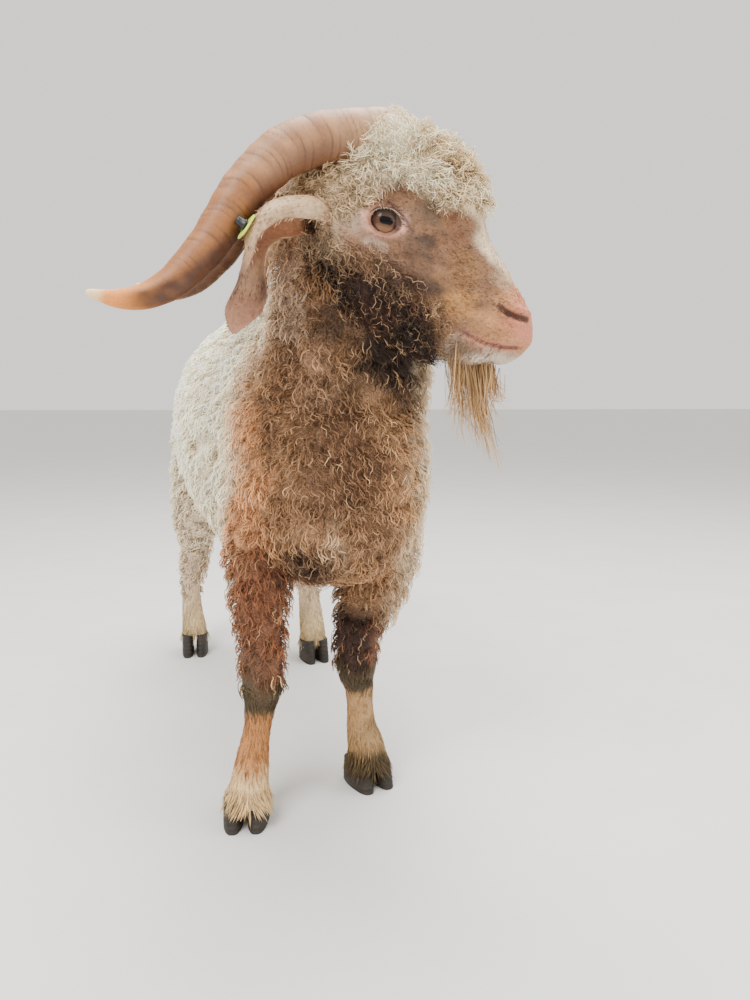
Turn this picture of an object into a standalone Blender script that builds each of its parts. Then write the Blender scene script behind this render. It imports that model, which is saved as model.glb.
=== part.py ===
"""An Angora goat buck standing square with its head turned to its left, at life size.

The frame has x to the goat's left, y to its back and z up, with the ground at z = 0. Every form is a tube, a cupped
sheet or a lobe through a few rows of sizes, and the coat is rounded lobes rooted in a core half a coat deep.
"""

import math

import bmesh
import bpy
import numpy as np
from mathutils import Matrix, Vector

# Driving sizes
GAP = 0.0003
FAR = 2.0
SEED = 11

# The head's own frame: f towards the nose, u towards the crown, r towards its right side
HEAD_AT = (0.0407, -0.1246, 0.6425)
HEAD_YAW = 84.0
HEAD_PITCH = 40.0
HEAD_ROLL = 8.0

# Rows of a form: place, half width, height above, height below, all to the tips of the coat
TRUNK_ROWS = (
    (0.024, -0.116, 0.402, 0.038, 0.046, 0.050),
    (0.024, -0.098, 0.400, 0.070, 0.085, 0.090),
    (0.025, -0.072, 0.400, 0.096, 0.120, 0.116),
    (0.025, -0.035, 0.405, 0.113, 0.150, 0.136),
    (0.020, 0.010, 0.415, 0.117, 0.180, 0.152),
    (0.012, 0.070, 0.425, 0.122, 0.193, 0.166),
    (0.004, 0.160, 0.430, 0.136, 0.187, 0.168),
    (0.000, 0.300, 0.435, 0.143, 0.178, 0.160),
    (0.000, 0.440, 0.440, 0.142, 0.178, 0.146),
    (0.000, 0.550, 0.445, 0.137, 0.172, 0.130),
    (0.000, 0.630, 0.445, 0.119, 0.150, 0.115),
    (0.000, 0.672, 0.440, 0.088, 0.112, 0.090),
)
NECK_ROWS = (
    (0.022, 0.060, 0.400, 0.106, 0.130, 0.120),
    (0.027, 0.015, 0.455, 0.110, 0.118, 0.112),
    (0.032, -0.035, 0.515, 0.101, 0.094, 0.100),
    (0.022, -0.070, 0.575, 0.084, 0.078, 0.088),
    (0.006, -0.098, 0.635, 0.068, 0.062, 0.074),
    (-0.004, -0.114, 0.685, 0.050, 0.044, 0.052),
)
TAIL_ROWS = (
    (0.0, 0.640, 0.545, 0.030, 0.022, 0.022),
    (0.0, 0.690, 0.570, 0.027, 0.018, 0.018),
    (0.0, 0.735, 0.560, 0.024, 0.015, 0.015),
    (0.0, 0.762, 0.528, 0.016, 0.010, 0.010),
)
# Rows of a leg from the trunk down: place, half width, depth behind, depth in front
LEG_ROWS = {
    "foreleg_right": (
        (-0.052, 0.060, 0.450, 0.046, 0.075, 0.075),
        (-0.052, 0.038, 0.360, 0.046, 0.076, 0.076),
        (-0.054, 0.024, 0.300, 0.042, 0.064, 0.062),
        (-0.057, 0.014, 0.250, 0.035, 0.050, 0.048),
        (-0.0565, 0.010, 0.200, 0.030, 0.039, 0.037),
        (-0.056, 0.006, 0.168, 0.024, 0.029, 0.028),
        (-0.0585, 0.012, 0.141, 0.0195, 0.021, 0.020),
        (-0.063, 0.014, 0.106, 0.016, 0.018, 0.018),
        (-0.068, 0.012, 0.080, 0.0185, 0.024, 0.020),
        (-0.0725, 0.006, 0.055, 0.0215, 0.025, 0.024),
        (-0.0765, 0.004, 0.030, 0.0255, 0.029, 0.029),
    ),
    "foreleg_left": (
        (0.088, 0.070, 0.450, 0.050, 0.075, 0.075),
        (0.092, 0.054, 0.360, 0.054, 0.076, 0.076),
        (0.090, 0.040, 0.300, 0.052, 0.066, 0.064),
        (0.076, 0.030, 0.250, 0.044, 0.052, 0.050),
        (0.060, 0.028, 0.200, 0.030, 0.040, 0.038),
        (0.059, 0.030, 0.168, 0.024, 0.029, 0.028),
        (0.066, 0.040, 0.138, 0.018, 0.021, 0.020),
        (0.070, 0.048, 0.104, 0.0165, 0.018, 0.018),
        (0.0725, 0.052, 0.080, 0.0185, 0.024, 0.020),
        (0.0775, 0.050, 0.055, 0.023, 0.026, 0.025),
        (0.0815, 0.052, 0.030, 0.0265, 0.029, 0.029),
    ),
    "hindleg_right": (
        (-0.070, 0.580, 0.480, 0.060, 0.100, 0.110),
        (-0.084, 0.565, 0.410, 0.056, 0.094, 0.105),
        (-0.092, 0.562, 0.345, 0.050, 0.082, 0.082),
        (-0.098, 0.585, 0.285, 0.044, 0.060, 0.058),
        (-0.100, 0.612, 0.245, 0.040, 0.048, 0.046),
        (-0.099, 0.646, 0.206, 0.031, 0.037, 0.036),
        (-0.103, 0.665, 0.172, 0.025, 0.030, 0.030),
        (-0.110, 0.668, 0.122, 0.0175, 0.022, 0.020),
        (-0.110, 0.662, 0.086, 0.0195, 0.023, 0.021),
        (-0.108, 0.652, 0.060, 0.022, 0.024, 0.024),
        (-0.107, 0.644, 0.040, 0.0235, 0.025, 0.027),
    ),
    "hindleg_left": (
        (0.070, 0.570, 0.480, 0.060, 0.100, 0.110),
        (0.084, 0.540, 0.410, 0.056, 0.094, 0.105),
        (0.092, 0.520, 0.345, 0.050, 0.082, 0.082),
        (0.098, 0.528, 0.285, 0.044, 0.060, 0.058),
        (0.100, 0.546, 0.245, 0.040, 0.048, 0.046),
        (0.100, 0.570, 0.206, 0.031, 0.037, 0.036),
        (0.103, 0.582, 0.172, 0.026, 0.030, 0.030),
        (0.107, 0.576, 0.122, 0.020, 0.022, 0.021),
        (0.108, 0.564, 0.086, 0.022, 0.024, 0.023),
        (0.1085, 0.554, 0.060, 0.025, 0.025, 0.026),
        (0.1085, 0.546, 0.040, 0.026, 0.026, 0.028),
    ),
}
# Each hoof: its middle, its turn in degrees, the height of its top and the half width of the pair of claws
HOOVES = {
    "foreleg_right": (-0.0775, 0.010, -12.0, 0.030, 0.0265),
    "foreleg_left": (0.0820, 0.058, 12.0, 0.030, 0.0275),
    "hindleg_right": (-0.1070, 0.638, -6.0, 0.040, 0.0245),
    "hindleg_left": (0.1085, 0.540, 6.0, 0.040, 0.0260),
}
HOOF_LENGTH = 0.062
HOOF_CLEFT = 0.005

# Rows of the head along f: f, u, r, half width, height above, height below, to the short hair and the wool's core
HEAD_ROWS = (
    (-0.060, 0.008, 0.0, 0.044, 0.044, 0.044),
    (-0.040, 0.008, 0.0, 0.053, 0.072, 0.064),
    (-0.012, 0.006, 0.0, 0.055, 0.088, 0.074),
    (0.018, 0.004, 0.0, 0.053, 0.092, 0.078),
    (0.048, 0.003, 0.0, 0.046, 0.083, 0.076),
    (0.078, 0.002, 0.0, 0.038, 0.068, 0.067),
    (0.105, 0.004, 0.0, 0.034, 0.057, 0.058),
    (0.130, 0.006, 0.0, 0.032, 0.049, 0.051),
    (0.148, 0.010, 0.0, 0.030, 0.039, 0.046),
    (0.162, 0.010, 0.0, 0.026, 0.032, 0.038),
    (0.174, 0.008, 0.0, 0.018, 0.022, 0.026),
)
HEAD_NOSE = 0.010
EYE_AT = (0.000, 0.0025, 0.0445)
EYE_RADIUS = 0.0142
BROW_AT = (0.000, 0.005, 0.042)
BROW_SIZES = (0.027, 0.022, 0.0140)
LID_RADIUS = 0.0122
LID_THICK = 0.0026
LID_OUT = 0.0075
# f and u along the mouth from its corner to its front, and along a nostril with its half opening
MOUTH_LINE = ((0.110, -0.021), (0.127, -0.017), (0.144, -0.012), (0.159, -0.004), (0.172, 0.006))
MOUTH_FRONT = (0.1825, 0.012)
NOSTRIL_LINE = ((0.131, 0.021, 0.0014), (0.141, 0.022, 0.0030), (0.151, 0.026, 0.0036), (0.161, 0.031, 0.0018))
LIP_OFFSET = 0.0056
LIP_RADIUS = 0.0050
MOUTH_RADIUS = 0.0016

# Horn: f, u, r, half depth, half width, half depth, from the skull to the tip
HORN_ROWS = (
    (-0.016, 0.052, 0.0230, 0.0205, 0.0225, 0.0205),
    (-0.036, 0.064, 0.0290, 0.0236, 0.0240, 0.0236),
    (-0.0656, 0.0382, 0.0353, 0.0226, 0.0228, 0.0226),
    (-0.0884, 0.0105, 0.0437, 0.0215, 0.0218, 0.0215),
    (-0.1010, -0.0213, 0.0521, 0.0206, 0.0210, 0.0206),
    (-0.1034, -0.0570, 0.0605, 0.0188, 0.0194, 0.0188),
    (-0.0997, -0.0865, 0.0682, 0.0172, 0.0180, 0.0172),
    (-0.0962, -0.1164, 0.0759, 0.0157, 0.0164, 0.0157),
    (-0.0973, -0.1465, 0.0836, 0.0133, 0.0142, 0.0133),
    (-0.1055, -0.1729, 0.0913, 0.0101, 0.0110, 0.0101),
    (-0.1199, -0.1900, 0.0983, 0.0074, 0.0080, 0.0074),
    (-0.1390, -0.2010, 0.1040, 0.0032, 0.0034, 0.0032),
)
HORN_LEFT_TURN = 3.2

# Ear: f, u, r of its spine, the radius of its roll, the half angle the roll covers and the way that it opens
EAR_ROWS = (
    (-0.0330, -0.0290, 0.0250, 0.0120, 125.0, 0.74, -0.62, 0.22),
    (-0.0477, -0.0344, 0.0450, 0.0165, 130.0, 0.74, -0.60, 0.30),
    (-0.0579, -0.0460, 0.0600, 0.0172, 130.0, 0.76, -0.50, 0.42),
    (-0.0670, -0.0610, 0.0730, 0.0152, 128.0, 0.76, -0.38, 0.52),
    (-0.0680, -0.0775, 0.0815, 0.0118, 130.0, 0.72, -0.28, 0.62),
    (-0.0618, -0.0911, 0.0870, 0.0092, 138.0, 0.68, -0.20, 0.70),
    (-0.0525, -0.1063, 0.0910, 0.0106, 122.0, 0.60, -0.08, 0.79),
    (-0.0420, -0.1225, 0.0940, 0.0152, 88.0, 0.52, 0.02, 0.85),
    (-0.0385, -0.1350, 0.0950, 0.0156, 72.0, 0.46, 0.10, 0.88),
    (-0.0345, -0.1460, 0.0940, 0.0105, 66.0, 0.42, 0.12, 0.90),
)
EAR_TIP = (-0.0325, -0.1525, 0.0930)
EAR_THICK = 0.0034
TAG_AT = 0.51
TAG_TURN = -72.0
TAG_PLATE = (0.0085, 0.0110, 0.0009)
TAG_BUTTON = (0.0052, 0.0036, 0.0085)

# Beard locks: root f, u, r, tip f, u, r and half width
BEARD_LOCKS = (
    (0.128, -0.036, 0.012, 0.1726, -0.0865, 0.012, 0.0065),
    (0.134, -0.036, -0.012, 0.2018, -0.0896, -0.010, 0.0065),
    (0.140, -0.034, 0.006, 0.2213, -0.0886, 0.006, 0.0065),
    (0.146, -0.030, -0.002, 0.2446, -0.0905, 0.000, 0.0070),
    (0.156, -0.024, 0.006, 0.2068, -0.0662, 0.008, 0.0060),
    (0.162, -0.018, -0.006, 0.2014, -0.0375, -0.006, 0.0055),
    (0.150, -0.028, -0.012, 0.2130, -0.0740, -0.014, 0.0055),
)
# Ruff locks under the jaw: root f, u, r, tip f, u, r and half width
RUFF_LOCKS = (
    (0.020, -0.055, 0.038, 0.058, -0.098, 0.044, 0.0170),
    (0.048, -0.055, 0.034, 0.088, -0.100, 0.040, 0.0165),
    (0.076, -0.050, 0.028, 0.118, -0.098, 0.032, 0.0160),
    (0.102, -0.044, 0.020, 0.144, -0.090, 0.022, 0.0150),
    (0.118, -0.040, 0.004, 0.160, -0.086, 0.004, 0.0140),
    (0.102, -0.044, -0.018, 0.144, -0.090, -0.020, 0.0150),
    (0.076, -0.050, -0.028, 0.118, -0.098, -0.032, 0.0160),
    (0.048, -0.055, -0.034, 0.088, -0.100, -0.040, 0.0165),
    (0.020, -0.055, -0.038, 0.058, -0.098, -0.044, 0.0170),
)

# Where one node ends and the next begins: a way and how far along it, in the goat's frame or the head's
NECK_WAY = (0.0, -0.7071, 0.7071)
NECK_AT = 0.3748
HEAD_BACK = (0.735, 0.678, 0.0)
HEAD_BACK_AT = -0.0382
HEAD_UNDER_AT = -0.080
BEARD_WAY = (0.7433, -0.6690, 0.0)
BEARD_AT = 0.1487
# Space of a leg: its inner side, front, back and top
LEG_SPACE = {"fore": (0.012, -0.080, 0.110, 0.262), "hind": (0.012, 0.380, 0.800, 0.285)}

# Coat of clumps: first and last share of the form, rings, half width, length, rise over the core and way it lies
TRUNK_COAT = (0.14, 0.985, 6, 0.070, 0.120, 0.024, (0.0, 0.35, -0.90))
CHEST_COAT = (0.008, 0.052, 2, 0.044, 0.084, 0.024, (0.0, -0.20, -1.0))
NECK_COAT = (0.26, 0.93, 4, 0.047, 0.094, 0.023, (0.10, -0.10, -1.0))
FORELEG_COAT = (0.42, 0.65, 3, 0.0300, 0.054, 0.009, (0.0, 0.10, -1.0))
HINDLEG_COAT = (0.44, 0.74, 3, 0.0310, 0.056, 0.009, (0.0, 0.15, -1.0))
TAIL_COAT = (0.40, 0.92, 2, 0.0160, 0.034, 0.009, (0.0, 0.30, -0.90))
# Clumps of the topknot and of the cheeks: share and turn of each on the head, half width, length and rise
TOPKNOT = (
    (0.14, 90, 0.026, 0.046, 0.026), (0.14, 52, 0.026, 0.044, 0.022), (0.14, 128, 0.026, 0.044, 0.022),
    (0.28, 70, 0.026, 0.048, 0.029), (0.28, 110, 0.026, 0.048, 0.029), (0.28, 36, 0.022, 0.040, 0.016),
    (0.28, 144, 0.022, 0.040, 0.016), (0.40, 90, 0.026, 0.046, 0.031), (0.39, 58, 0.023, 0.040, 0.025),
    (0.39, 122, 0.023, 0.040, 0.025), (0.48, 76, 0.019, 0.030, 0.026), (0.48, 104, 0.019, 0.030, 0.026),
)
CHEEKS = (
    (0.10, -22, 0.022, 0.044, 0.014), (0.24, -36, 0.022, 0.044, 0.014), (0.38, -40, 0.022, 0.042, 0.013),
    (0.52, -46, 0.020, 0.038, 0.011), (0.64, -52, 0.018, 0.034, 0.009), (0.28, -66, 0.022, 0.042, 0.014),
    (0.44, -68, 0.022, 0.040, 0.013),
)
TOPKNOT_LIES = (1.0, -0.25, 0.0)
CHEEKS_LIE = (0.45, -0.90, 0.10)

# Colours: red, green, blue, roughness
FLEECE = (0.72, 0.64, 0.50, 0.90)
STAINED = (0.38, 0.22, 0.12, 0.90)
SHORT_HAIR = (0.62, 0.45, 0.28, 0.85)
HORN = (0.62, 0.38, 0.22, 0.50)
HOOF = (0.22, 0.16, 0.11, 0.60)
EYE = (0.45, 0.26, 0.08, 0.10)
TAG_BLACK = (0.02, 0.02, 0.025, 0.40)
TAG_GREEN = (0.55, 0.80, 0.12, 0.45)


def clear_scene():
    for old in list(bpy.data.objects):
        bpy.data.objects.remove(old)


def unit(vectors):
    """Vectors scaled to length one."""
    vectors = np.asarray(vectors, float)
    return vectors / np.linalg.norm(vectors, axis=-1, keepdims=True)


def head_axes():
    """The head's f, u and r directions in the goat's frame."""
    yaw, pitch, roll = (math.radians(a) for a in (HEAD_YAW, HEAD_PITCH, HEAD_ROLL))
    level = np.array([math.sin(yaw), -math.cos(yaw), 0.0])
    up = np.array([0.0, 0.0, 1.0])
    forward = level * math.cos(pitch) - up * math.sin(pitch)
    crown = level * math.sin(pitch) + up * math.cos(pitch)
    right = np.cross(forward, crown)
    return np.array([
        forward,
        crown * math.cos(roll) + right * math.sin(roll),
        right * math.cos(roll) - crown * math.sin(roll),
    ])


HEAD_AXES = head_axes()


def from_head(points):
    """Points of the head's frame in the goat's frame."""
    return np.asarray(points, float) @ HEAD_AXES + np.array(HEAD_AT)


def smooth(rows, count):
    """The rows, resampled at even steps along a curve through them that never overshoots."""
    rows = np.array(rows, float)
    at = np.concatenate([[0.0], np.cumsum(np.linalg.norm(np.diff(rows[:, :3], axis=0), axis=1))])
    rises = np.diff(rows, axis=0) / np.diff(at)[:, None]
    slopes = np.vstack([rises[:1], np.zeros_like(rises[1:]), rises[-1:]])
    same = rises[:-1] * rises[1:] > 0
    sums = np.where(same, rises[:-1] + rises[1:], 1.0)
    slopes[1:-1] = np.where(same, 2 * rises[:-1] * rises[1:] / sums, 0.0)
    places = np.linspace(0.0, at[-1], count)
    i = np.clip(np.searchsorted(at, places, side="right") - 1, 0, len(at) - 2)
    span = (at[i + 1] - at[i])[:, None]
    x = (places - at[i])[:, None] / span
    return (
        rows[i] * (1 + 2 * x) * (1 - x) ** 2
        + slopes[i] * span * x * (1 - x) ** 2
        + rows[i + 1] * x**2 * (3 - 2 * x)
        + slopes[i + 1] * span * x**2 * (x - 1)
    )


def frames(centres, across):
    """Along, side and up directions at each centre of a spine."""
    along = unit(np.gradient(centres, axis=0))
    side = unit(across - (along @ across)[:, None] * along)
    return along, side, np.cross(side, along)


def surface(rows, across, power=2.0):
    """Gives, for a share along a tube and a turn round it, the point, the way out of it and how round it is."""
    path = smooth(rows, 61)
    _, side, up = frames(path[:, :3], np.array(across, float))

    def place(share, turn):
        i = min(int(share * 60), 59)
        row = path[i] + (path[i + 1] - path[i]) * (share * 60 - i)
        wide, high = math.cos(turn), math.sin(turn)
        tall = row[4] if high > 0 else row[5]
        wide = math.copysign(abs(wide) ** (2 / power), wide)
        high = math.copysign(abs(high) ** (2 / power), high)
        return row[:3] + side[i] * row[3] * wide + up[i] * tall * high, 1.0 / (row[3] + tall)

    def at(share, turn):
        point, roundness = place(share, turn)
        low, high = max(share - 0.02, 0.0), min(share + 0.02, 1.0)
        along = place(high, turn)[0] - place(low, turn)[0]
        around = place(share, turn + 0.2)[0] - place(share, turn - 0.2)[0]
        return point, unit(np.cross(along, around)), roundness

    return at


def skinned(rings, first, last):
    """Closes rings of points into one surface, with a point at its end and one, or a folded sheet's edge, at its start."""
    count, sides = rings.shape[:2]
    points = np.vstack([rings.reshape(-1, 3), last if first is None else [last, first]])
    end = count * sides
    faces = []
    for i in range(count - 1):
        for j in range(sides):
            k = (j + 1) % sides
            faces.append((i * sides + j, (i + 1) * sides + j, (i + 1) * sides + k))
            faces.append((i * sides + j, (i + 1) * sides + k, i * sides + k))
    for j in range(sides):
        k = (j + 1) % sides
        faces.append((end, end - sides + k, end - sides + j))
        if first is not None:
            faces.append((end + 1, j, k))
    if first is None:
        faces.append((0, 1, sides - 1))
        faces += [(j, j + 1, sides - 1 - j) for j in range(1, sides // 2 - 1)]
        faces += [(j, sides - 1 - j, sides - j) for j in range(1, sides // 2 - 1)]
        faces.append((sides // 2 - 1, sides // 2, sides // 2 + 1))
    if np.linalg.det(points[faces]).sum() < 0:
        faces = [tuple(reversed(f)) for f in faces]
    return points, faces


def domed(row, way, length):
    """Rows that round off one end of a tube, and the point that closes it."""
    extra = []
    for turn in (25.0, 50.0, 72.0):
        lift, left = math.sin(math.radians(turn)), math.cos(math.radians(turn))
        extra.append(np.concatenate([row[:3] + way * length * lift, row[3:] * left]))
    return extra, row[:3] + way * length


def tube(rows, sides, steps, across, ends=(0.0, 0.0), power=2.0):
    """A closed tube. A row is its centre, half width, height above and height below; ends are the domes' lengths."""
    across = np.array(across, float)
    path = smooth(rows, steps)
    along = unit(np.gradient(path[:, :3], axis=0))
    start, first = domed(path[0], -along[0], ends[0]) if ends[0] else ([], path[0, :3])
    finish, last = domed(path[-1], along[-1], ends[1]) if ends[1] else ([], path[-1, :3])
    path = np.array([*start[::-1], *path, *finish])
    _, side, up = frames(path[:, :3], across)
    turns = np.arange(sides) * 2 * math.pi / sides
    wide = np.sign(np.cos(turns)) * np.abs(np.cos(turns)) ** (2 / power)
    high = np.sign(np.sin(turns)) * np.abs(np.sin(turns)) ** (2 / power)
    tall = np.where(high > 0, path[:, 4:5] * high, path[:, 5:6] * high)
    rings = path[:, None, :3] + side[:, None] * (path[:, 3:4] * wide)[..., None] + up[:, None] * tall[..., None]
    return skinned(rings, first, last)


def lobe(root, out, lie, length, width, rise, roundness):
    """A rounded clump: rooted under the core, it rises to the coat's surface and lies down round the form."""
    lie = unit(lie - out * (lie @ out))
    side = np.cross(lie, out)
    turns = np.arange(5) * 2 * math.pi / 5 + math.pi / 2
    rings = []
    for far, high, wide, thick in ((0.18, 0.12, 0.94, 0.72), (0.66, 0.36, 0.88, 0.66)):
        drop = roundness * (far * length) ** 2 / 2
        centre = root + lie * length * far + out * (rise * high - drop)
        ring = side * (np.cos(turns) * width * wide)[:, None] + out * (np.sin(turns) * rise * thick)[:, None]
        rings.append(centre + ring)
    foot = root - out * rise * 0.9 - lie * length * 0.1
    tip = root + lie * length + out * (rise * 0.30 - roundness * length**2 / 2)
    return skinned(np.array(rings), foot, tip)


def coat_of(random, rows, coat, across, power=2.0):
    """Rings of clumps round a tube, each with the place of its root."""
    first, last, rings, width, length, rise, lie = coat
    at = surface(core_rows(rows, rise), across, power)
    shapes = []
    for i, share in enumerate(np.linspace(first, last, rings)):
        points = np.array([at(share, t)[0] for t in np.arange(24) * math.pi / 12])
        around = np.linalg.norm(points - np.roll(points, 1, axis=0), axis=1).sum()
        count = max(3, round(around / (1.9 * width)))
        for j in range(count):
            turn = (j + 0.5 * (i % 2) + random.uniform(-0.12, 0.12)) * 2 * math.pi / count
            root, out, roundness = at(min(max(share + random.uniform(-0.012, 0.012), 0.0), 1.0), turn)
            sway = np.array([random.uniform(-0.25, 0.25), random.uniform(-0.2, 0.2), 0.0])
            sizes = np.array([length, width, rise]) * random.uniform(0.88, 1.12)
            shapes.append((lobe(root, out, np.array(lie) + sway, *sizes, roundness), root))
    return shapes


def core_rows(rows, rise):
    """Rows of the core under a coat: each size smaller by the coat's rise, but not the short hair's."""
    rows = np.array(rows, float)
    slack = np.clip((rows[:, 3:].min(axis=1) - 0.024) / 0.008, 0.0, 1.0)
    rows[:, 3:] -= (rise * slack)[:, None]
    return rows


def head_coat(random):
    """Clumps of the topknot and of both cheeks, each with the place of its root."""
    at = surface(HEAD_ROWS, (0, 0, 1), 2.2)
    shapes = []
    for table, lie, sides in ((TOPKNOT, TOPKNOT_LIES, (1,)), (CHEEKS, CHEEKS_LIE, (1, -1))):
        for share, turn, width, length, rise in table:
            for side in sides:
                root, out, roundness = at(share, math.radians(turn))
                way = np.array(lie) + (random.uniform(-0.2, 0.2), 0.0, random.uniform(-0.3, 0.3))
                shape = lobe(root - out * 0.2 * rise, out, way, length, width, rise * 1.15, roundness)
                root = root * np.array([1.0, 1.0, side])
                shapes.append((headed(mirrored(shape) if side < 0 else shape), from_head(root)))
    return shapes


def bare(shapes):
    """The shapes alone, without the places of their roots."""
    return [shape for shape, _ in shapes]


def near(shapes, planes, margin):
    """The shapes whose roots lie inside every plane or at most a margin outside."""
    kept = []
    for shape, root in shapes:
        if all(float(np.dot(normal, root)) < offset + margin for normal, offset in planes):
            kept.append(shape)
    return kept


def lock(root, tip, width, sag):
    """A flat tapered lock from its root to its tip, bowed by sag across its length."""
    root, tip, sag = (np.array(v, float) for v in (root, tip, sag))
    side = unit(np.cross(tip - root, sag))
    rings = []
    turns = np.arange(5) * 2 * math.pi / 5
    for share, wide in ((0.0, 0.85), (0.35, 1.0), (0.72, 0.62)):
        centre = root + (tip - root) * share + sag * math.sin(math.pi * share)
        flat = side * (np.cos(turns) * width * wide)[:, None]
        rings.append(centre + flat + unit(sag) * (np.sin(turns) * width * wide * 0.42)[:, None])
    first = root - (tip - root) * 0.06
    return skinned(np.array(rings), first, tip)


def region(planes):
    """The part of space on the inner side of every plane, as one large solid."""
    made = bmesh.new()
    bmesh.ops.create_cube(made, size=2 * FAR)
    for normal, offset in planes:
        normal = np.array(normal, float)
        size = np.linalg.norm(normal)
        cut = bmesh.ops.bisect_plane(
            made,
            geom=made.verts[:] + made.edges[:] + made.faces[:],
            plane_co=Vector(normal * offset / size**2),
            plane_no=Vector(normal / size),
            clear_outer=True,
        )
        edges = [e for e in cut["geom_cut"] if isinstance(e, bmesh.types.BMEdge)]
        bmesh.ops.contextual_create(made, geom=edges)
    bmesh.ops.recalc_face_normals(made, faces=made.faces)
    made.verts.index_update()
    points = np.array([v.co for v in made.verts])
    faces = [tuple(v.index for v in f.verts) for f in made.faces]
    made.free()
    return points, faces


def mirrored(shape):
    """The same shape on the head's other side, still facing out."""
    points, faces = shape
    return points * np.array([1.0, 1.0, -1.0]), [tuple(reversed(f)) for f in faces]


def headed(shape):
    """A shape of the head's frame in the goat's frame."""
    points, faces = shape
    return from_head(points), faces


def grown(rows, by):
    """Rows with every size larger by the same amount."""
    rows = np.array(rows, float)
    rows[:, 3:] += by
    return rows


def ball(centre, sizes, axes, segments, rings):
    """An ellipsoid with three half sizes along three directions."""
    made = bmesh.new()
    bmesh.ops.create_uvsphere(made, u_segments=segments, v_segments=rings, radius=1.0)
    points = np.array([v.co for v in made.verts]) * np.array(sizes)
    faces = [tuple(v.index for v in f.verts) for f in made.faces]
    made.free()
    return points @ np.array(axes) + np.array(centre), faces


def block(centre, sizes, axes):
    """A box with three half sizes along three directions."""
    corners = [(a, b, c) for a in (-1, 1) for b in (-1, 1) for c in (-1, 1)]
    points = np.array(corners) * np.array(sizes) @ np.array(axes) + np.array(centre)
    faces = [(0, 1, 3, 2), (4, 6, 7, 5), (0, 4, 5, 1), (2, 3, 7, 6), (0, 2, 6, 4), (1, 5, 7, 3)]
    return points, faces


def mesh_object(name, shape):
    points, faces = shape
    mesh = bpy.data.meshes.new(name)
    mesh.from_pydata([tuple(p) for p in points], [], faces)
    mesh.update()
    made = bpy.data.objects.new(name, mesh)
    bpy.context.scene.collection.objects.link(made)
    return made


def material(name, colour):
    made = bpy.data.materials.new(name)
    made.use_nodes = True
    shader = made.node_tree.nodes["Principled BSDF"]
    shader.inputs["Base Color"].default_value = (*colour[:3], 1.0)
    shader.inputs["Roughness"].default_value = colour[3]
    shader.inputs["Metallic"].default_value = 0.0
    return made


def apply_boolean(target, shapes, operation):
    """Joins, cuts or keeps by a collection of closed shapes, and removes them again."""
    if not shapes:
        return
    group = bpy.data.collections.new("tools")
    bpy.context.scene.collection.children.link(group)
    tools = []
    for shape in shapes:
        tool = mesh_object("tool", shape)
        bpy.context.scene.collection.objects.unlink(tool)
        group.objects.link(tool)
        tools.append(tool)
    modifier = target.modifiers.new("boolean", "BOOLEAN")
    modifier.operation = operation
    modifier.solver = "MANIFOLD"
    modifier.operand_type = "COLLECTION"
    modifier.collection = group
    graph = bpy.context.evaluated_depsgraph_get()
    made = bpy.data.meshes.new_from_object(target.evaluated_get(graph))
    target.modifiers.clear()
    target.data = made
    for tool in tools:
        bpy.data.objects.remove(tool)
    bpy.data.collections.remove(group)


def keep_largest(target):
    """Keeps the closed surface that holds the most, triangulated."""
    made = bmesh.new()
    made.from_mesh(target.data)
    bmesh.ops.triangulate(made, faces=made.faces)
    bmesh.ops.remove_doubles(made, verts=made.verts, dist=0.000002)
    left = set(made.faces)
    shells = []
    while left:
        shell = {left.pop()}
        edge = list(shell)
        while edge:
            face = edge.pop()
            for side in face.edges:
                for other in side.link_faces:
                    if other in left:
                        left.remove(other)
                        shell.add(other)
                        edge.append(other)
        volume = sum(f.verts[0].co.dot(f.verts[1].co.cross(f.verts[2].co)) for f in shell)
        shells.append((volume, shell))
    best = max(shells, key=lambda found: found[0])[1]
    bmesh.ops.delete(made, geom=[f for f in made.faces if f not in best], context="FACES")
    made.to_mesh(target.data)
    made.free()


def node(name, pieces, colour, keep=(), cut=()):
    """One named solid: its pieces joined, kept inside a region and cut by its neighbours' shapes."""
    made = mesh_object(name, pieces[0])
    apply_boolean(made, list(pieces[1:]), "UNION")
    for shape in keep:
        apply_boolean(made, [shape], "INTERSECT")
    apply_boolean(made, list(cut), "DIFFERENCE")
    keep_largest(made)
    made.data.materials.clear()
    made.data.materials.append(colour)
    made.data.shade_smooth()
    made.data.set_sharp_from_angle(angle=math.radians(50))
    return made


def head_plane(way, offset, sign):
    """A plane of the head's frame in the goat's frame, keeping what is under it or, with a minus sign, over it."""
    way = np.array(way, float) @ HEAD_AXES
    return sign * way, sign * (offset + float(way @ np.array(HEAD_AT)))


def body_plane(way, offset, sign):
    """A plane of the goat's frame, keeping what is under it or, with a minus sign, over it."""
    return sign * np.array(way, float), sign * offset


def leg_planes(name, gap, floor=-0.1):
    """The planes round the space of one leg, each drawn in by a gap."""
    side = -1 if name.endswith("right") else 1
    inner, front, back, top = LEG_SPACE[name[:4]]
    return [
        ((-side, 0, 0), -inner - gap),
        ((side, 0, 0), 0.30),
        ((0, -1, 0), -front - gap),
        ((0, 1, 0), back - gap),
        ((0, 0, 1), top - gap),
        ((0, 0, -1), -floor),
    ]


def leg_shape(name, rise):
    """The core of one leg, carried a little below its last row so that its end can be cut level."""
    rows = [*LEG_ROWS[name]]
    x, y, z, *sizes = rows[-1]
    rows.append((x, y, z - 0.012, *sizes))
    return tube(core_rows(rows, rise), 9, 11, (1, 0, 0))


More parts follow.
